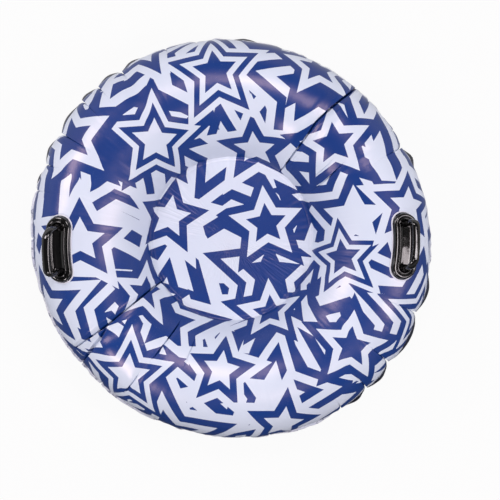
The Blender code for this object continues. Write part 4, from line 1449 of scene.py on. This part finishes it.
def build_tether_ring():
    inner = COLLAR_RADIUS + GAP
    section = ((inner, COLLAR_BOTTOM), (ON_OUTLINE, COLLAR_BOTTOM), (ON_OUTLINE, COLLAR_TOP),
               (inner, COLLAR_TOP))
    outline = strapped(inner + 0.0025, PLUG_HINGE_REACH + 0.002, TETHER_WIDTH)
    return turned("tether_moulding", section, VALVE, outline)


fit_in(build_flange(), "tube", "clear_vinyl", "valve_flange")
fit_in(build_neck(), "tube", "valve_plastic", "valve_neck")
fit_in(build_tether_ring(), "tube", "valve_plastic", "plug_tether_ring")

# %% [markdown]
# The plug, the cap and the flap each ride on a body of their own, so that they swing. The
# plug's lid is ribbed for wet fingers, its stopper tapers so that it can swing out of the
# neck, and two grooves run round it. The clip that holds the flap's tail belongs to the plug.


# %% Plug, cap, flap and clip
def build_plug():
    foot, top = 0.01064, BORE_RADIUS - GAP

    def stopper(share, groove=0.0):
        """Radius and height on the tapered stopper, a share of the way up it."""
        height = STOPPER_BOTTOM * (1 - share) + LID_BOTTOM * share
        return foot + (top - foot) * share - groove, height

    ridge = LID_TOP + RELIEF
    section = [(PASSAGE_RADIUS, STOPPER_BOTTOM), stopper(0.0)]
    for middle in (0.35, 0.65):
        section += [stopper(middle - 0.07), stopper(middle - 0.04, RELIEF),
                    stopper(middle + 0.04, RELIEF), stopper(middle + 0.07)]
    section += [stopper(1.0), (ON_OUTLINE, LID_BOTTOM), (ON_OUTLINE, LID_TOP),
                (0.0176, LID_TOP), (0.0173, ridge), (0.0163, ridge), (0.0160, LID_TOP),
                (SPOUT_RADIUS, LID_TOP), (SPOUT_RADIUS, SPOUT_TOP),
                (PASSAGE_RADIUS, SPOUT_TOP)]
    outline = strapped(LID_RADIUS, PLUG_HINGE_REACH + 0.001, TETHER_WIDTH, ribs=48)
    plug = turned("plug_moulding", section, VALVE, outline, edge=0.0002)
    post = block("cap_post", (-CAP_HINGE_REACH - 0.0016, -CAP_TETHER_WIDTH / 2, 0.0062),
                 (-CAP_HINGE_REACH + 0.0008, CAP_TETHER_WIDTH / 2, CAP_BOTTOM - GAP), VALVE)
    combine(plug, post, "UNION")
    return plug


def build_cap():
    section = ((0.0006, CAP_BOTTOM - 0.004), (0.00294, CAP_BOTTOM - 0.004),
               (PASSAGE_RADIUS - GAP, CAP_BOTTOM), (ON_OUTLINE, CAP_BOTTOM),
               (ON_OUTLINE, CAP_TOP), (0.0062, CAP_TOP), (0.0058, CAP_TOP - RELIEF),
               (0.0006, CAP_TOP - RELIEF))
    outline = strapped(CAP_RADIUS, CAP_HINGE_REACH + 0.0008, CAP_TETHER_WIDTH, math.pi, 28)
    return turned("cap_moulding", section, VALVE, outline, ring=False, edge=0.0002)


def build_flap():
    section = ((0.0006, FLAP_BOTTOM), (ON_OUTLINE, FLAP_BOTTOM), (ON_OUTLINE, FLAP_TOP),
               (0.0006, FLAP_TOP))
    outline = strapped(FLAP_RADIUS, 0.0062, 0.0025, math.pi / 2)
    return turned("flap_disc", section, CLEAR, outline, ring=False, edge=0.0001)


fit_in(build_plug(), "plug", "valve_plastic", "deflation_plug")
fit_in(build_cap(), "cap", "valve_plastic", "inflation_cap")
fit_in(build_flap(), "flap", "clear_vinyl", "check_flap")
fit_in(block("clip_moulding", (-0.0025, 0.0069, FLAP_TOP - 0.0012), (0.0025, 0.0091, FLAP_TOP),
             VALVE), "plug", "valve_plastic", "flap_clip")

# %% [markdown]
# ## Finishes on the construction model
# The construction model keeps its own shapes. Its pieces only take the finish of their slot,
# so that a piece that no mesh here stands for, such as the seat weld, shows the right one.

# %% Finishes by slot
FINISHES = {"printed_vinyl": PRINTED, "dark_vinyl": DARK, "seam_vinyl": SEAM,
            "white_vinyl": WHITE, "black_moulding": BLACK, "valve_plastic": VALVE,
            "clear_vinyl": CLEAR}
for row in frame["record"]["subparts"]:
    node = frame["nodes"][row["node"]]
    node.data.materials.clear()
    node.data.materials.append(FINISHES[row["material_slot"]])
print("finishes:", sorted(FINISHES))

# %% [markdown]
# ## Floor and light
# The floor is white and lies under the tube. Its material glows evenly for rays from the
# camera, which makes the plain white ground of the photograph, and is matte for the light of
# the lamps, so that the tube still casts its soft shadow. In reflections it is dimmer on one
# side, as the photograph's dark lower right rim asks for.


# %% Floor
BRIGHT_SIDE = math.radians(100)     # from +X, seen from the middle
FLOOR_DIM = 0.06                    # the floor in reflections, on the dim side
FLOOR_BRIGHT = 0.66                 # and on the bright side
FLOOR_GREY = 0.62                   # the matte floor, which takes the shadow
FLOOR_GLOW = 0.94                   # share of the glow in what the camera sees
FLOOR_HALF = 12.0
FLOOR_DEPTH = 0.0004                # below the tube, so that the two never touch


def side_share(tree, vector):
    """0 on the side turned away from BRIGHT_SIDE, 1 on the side towards it."""
    flat = compute_vector(tree, "MULTIPLY", vector, (1.0, 1.0, 0.0))
    unit = compute_vector(tree, "NORMALIZE", flat)
    bright = (math.cos(BRIGHT_SIDE), math.sin(BRIGHT_SIDE), 0.0)
    return compute(tree, "MULTIPLY_ADD", compute_vector(tree, "DOT_PRODUCT", unit, bright),
                   0.5, 0.5)


def floor_material():
    material = bpy.data.materials.new("floor_white")
    material.use_nodes = True
    tree = material.node_tree
    tree.nodes.clear()
    grey = (FLOOR_GREY, FLOOR_GREY, FLOOR_GREY, 1.0)
    matte = add_node(tree, "ShaderNodeBsdfDiffuse", Color=grey)
    path = tree.nodes.new("ShaderNodeLightPath").outputs
    place = tree.nodes.new("ShaderNodeTexCoord").outputs["Object"]
    level = remap(tree, side_share(tree, place), 0.0, 1.0, FLOOR_DIM, FLOOR_BRIGHT)
    loss = compute(tree, "MULTIPLY", path["Is Glossy Ray"], compute(tree, "SUBTRACT", 1.0, level))
    white = compute(tree, "SUBTRACT", 1.0, loss)
    bright = add_node(tree, "ShaderNodeEmission", Color=white, Strength=1.0)
    direct = compute(tree, "MULTIPLY", path["Is Camera Ray"], FLOOR_GLOW)
    reflected = compute(tree, "MAXIMUM", path["Is Glossy Ray"], path["Is Transmission Ray"])
    seen = compute(tree, "MAXIMUM", direct, reflected)
    mix = add_node(tree, "ShaderNodeMixShader", Fac=seen)
    tree.links.new(matte.outputs[0], mix.inputs[1])
    tree.links.new(bright.outputs[0], mix.inputs[2])
    output = tree.nodes.new("ShaderNodeOutputMaterial")
    tree.links.new(mix.outputs[0], output.inputs["Surface"])
    return material


corners = [(x * FLOOR_HALF, y * FLOOR_HALF, -FLOOR_DEPTH)
           for x, y in ((-1, -1), (1, -1), (1, 1), (-1, 1))]
floor = mesh_object("floor", corners, [(0, 1, 2, 3)], floor_material())
print("floor:", 2 * FLOOR_HALF, "metres across")

# %% [markdown]
# Round the tube stands a white surround that grows darker overhead, as a studio ceiling does,
# and that is dimmer on the same side as the floor. Six soft lamps hang in it, and their
# reflections are the broad pale sheens on the ring. The lamps are 1 to 2 metres across,
# because small ones would make hard points of light.

# %% Surround
HORIZON_DIM = 0.36                  # the surround at the horizon, on the dim side
HORIZON_BRIGHT = 1.00               # and on the bright side
CEILING = 0.08
WALL_TOP, CEILING_EDGE = 0.12, 0.62    # between these heights of a direction it darkens


def build_surround():
    world = bpy.data.worlds.new("surround")
    bpy.context.scene.world = world
    world.use_nodes = True
    tree = world.node_tree
    direction = tree.nodes.new("ShaderNodeTexCoord").outputs["Generated"]
    up = add_node(tree, "ShaderNodeSeparateXYZ", Vector=direction).outputs["Z"]
    horizon = remap(tree, side_share(tree, direction), 0.0, 1.0, HORIZON_DIM, HORIZON_BRIGHT)
    strength = remap(tree, up, WALL_TOP, CEILING_EDGE, horizon, CEILING)
    tree.nodes["Background"].inputs["Color"].default_value = (1.0, 1.0, 1.0, 1.0)
    fill(tree, tree.nodes["Background"].inputs["Strength"], strength)


build_surround()
print("surround:", bpy.context.scene.world.name)

# %% Soft lamps
# Direction in degrees from +X, degrees off the vertical, width, length, strength
LAMPS = (
    ("left", 156, 47, 1.8, 1.2, 12.0),
    ("lower_left", 232, 45, 1.1, 0.9, 17.5),
    ("lower_right", 292, 26, 1.3, 1.0, 4.5),
    ("right", 346, 50, 1.7, 1.6, 6.4),
    ("right_high", 356, 37, 1.0, 1.6, 9.0),
    ("top", 76, 23, 1.8, 1.2, 10.0),
)
LAMP_DISTANCE = 5.0
LAMP_TINT = (1.0, 0.91, 0.94)

for word, azimuth, tilt, width, length, radiance in LAMPS:
    light = bpy.data.lights.new("lamp_" + word, "AREA")
    light.shape = "RECTANGLE"
    light.size = width
    light.size_y = length
    light.color = LAMP_TINT
    light.energy = radiance * math.pi * width * length
    lamp = bpy.data.objects.new("lamp_" + word, light)
    away, turn = math.radians(tilt), math.radians(azimuth)
    direction = Vector((math.sin(away) * math.cos(turn), math.sin(away) * math.sin(turn),
                        math.cos(away)))
    lamp.location = direction * LAMP_DISTANCE
    lamp.rotation_euler = direction.to_track_quat("Z", "Y").to_euler()
    lamp.visible_camera = False
    bpy.context.scene.collection.objects.link(lamp)
print("lamps:", len(LAMPS))
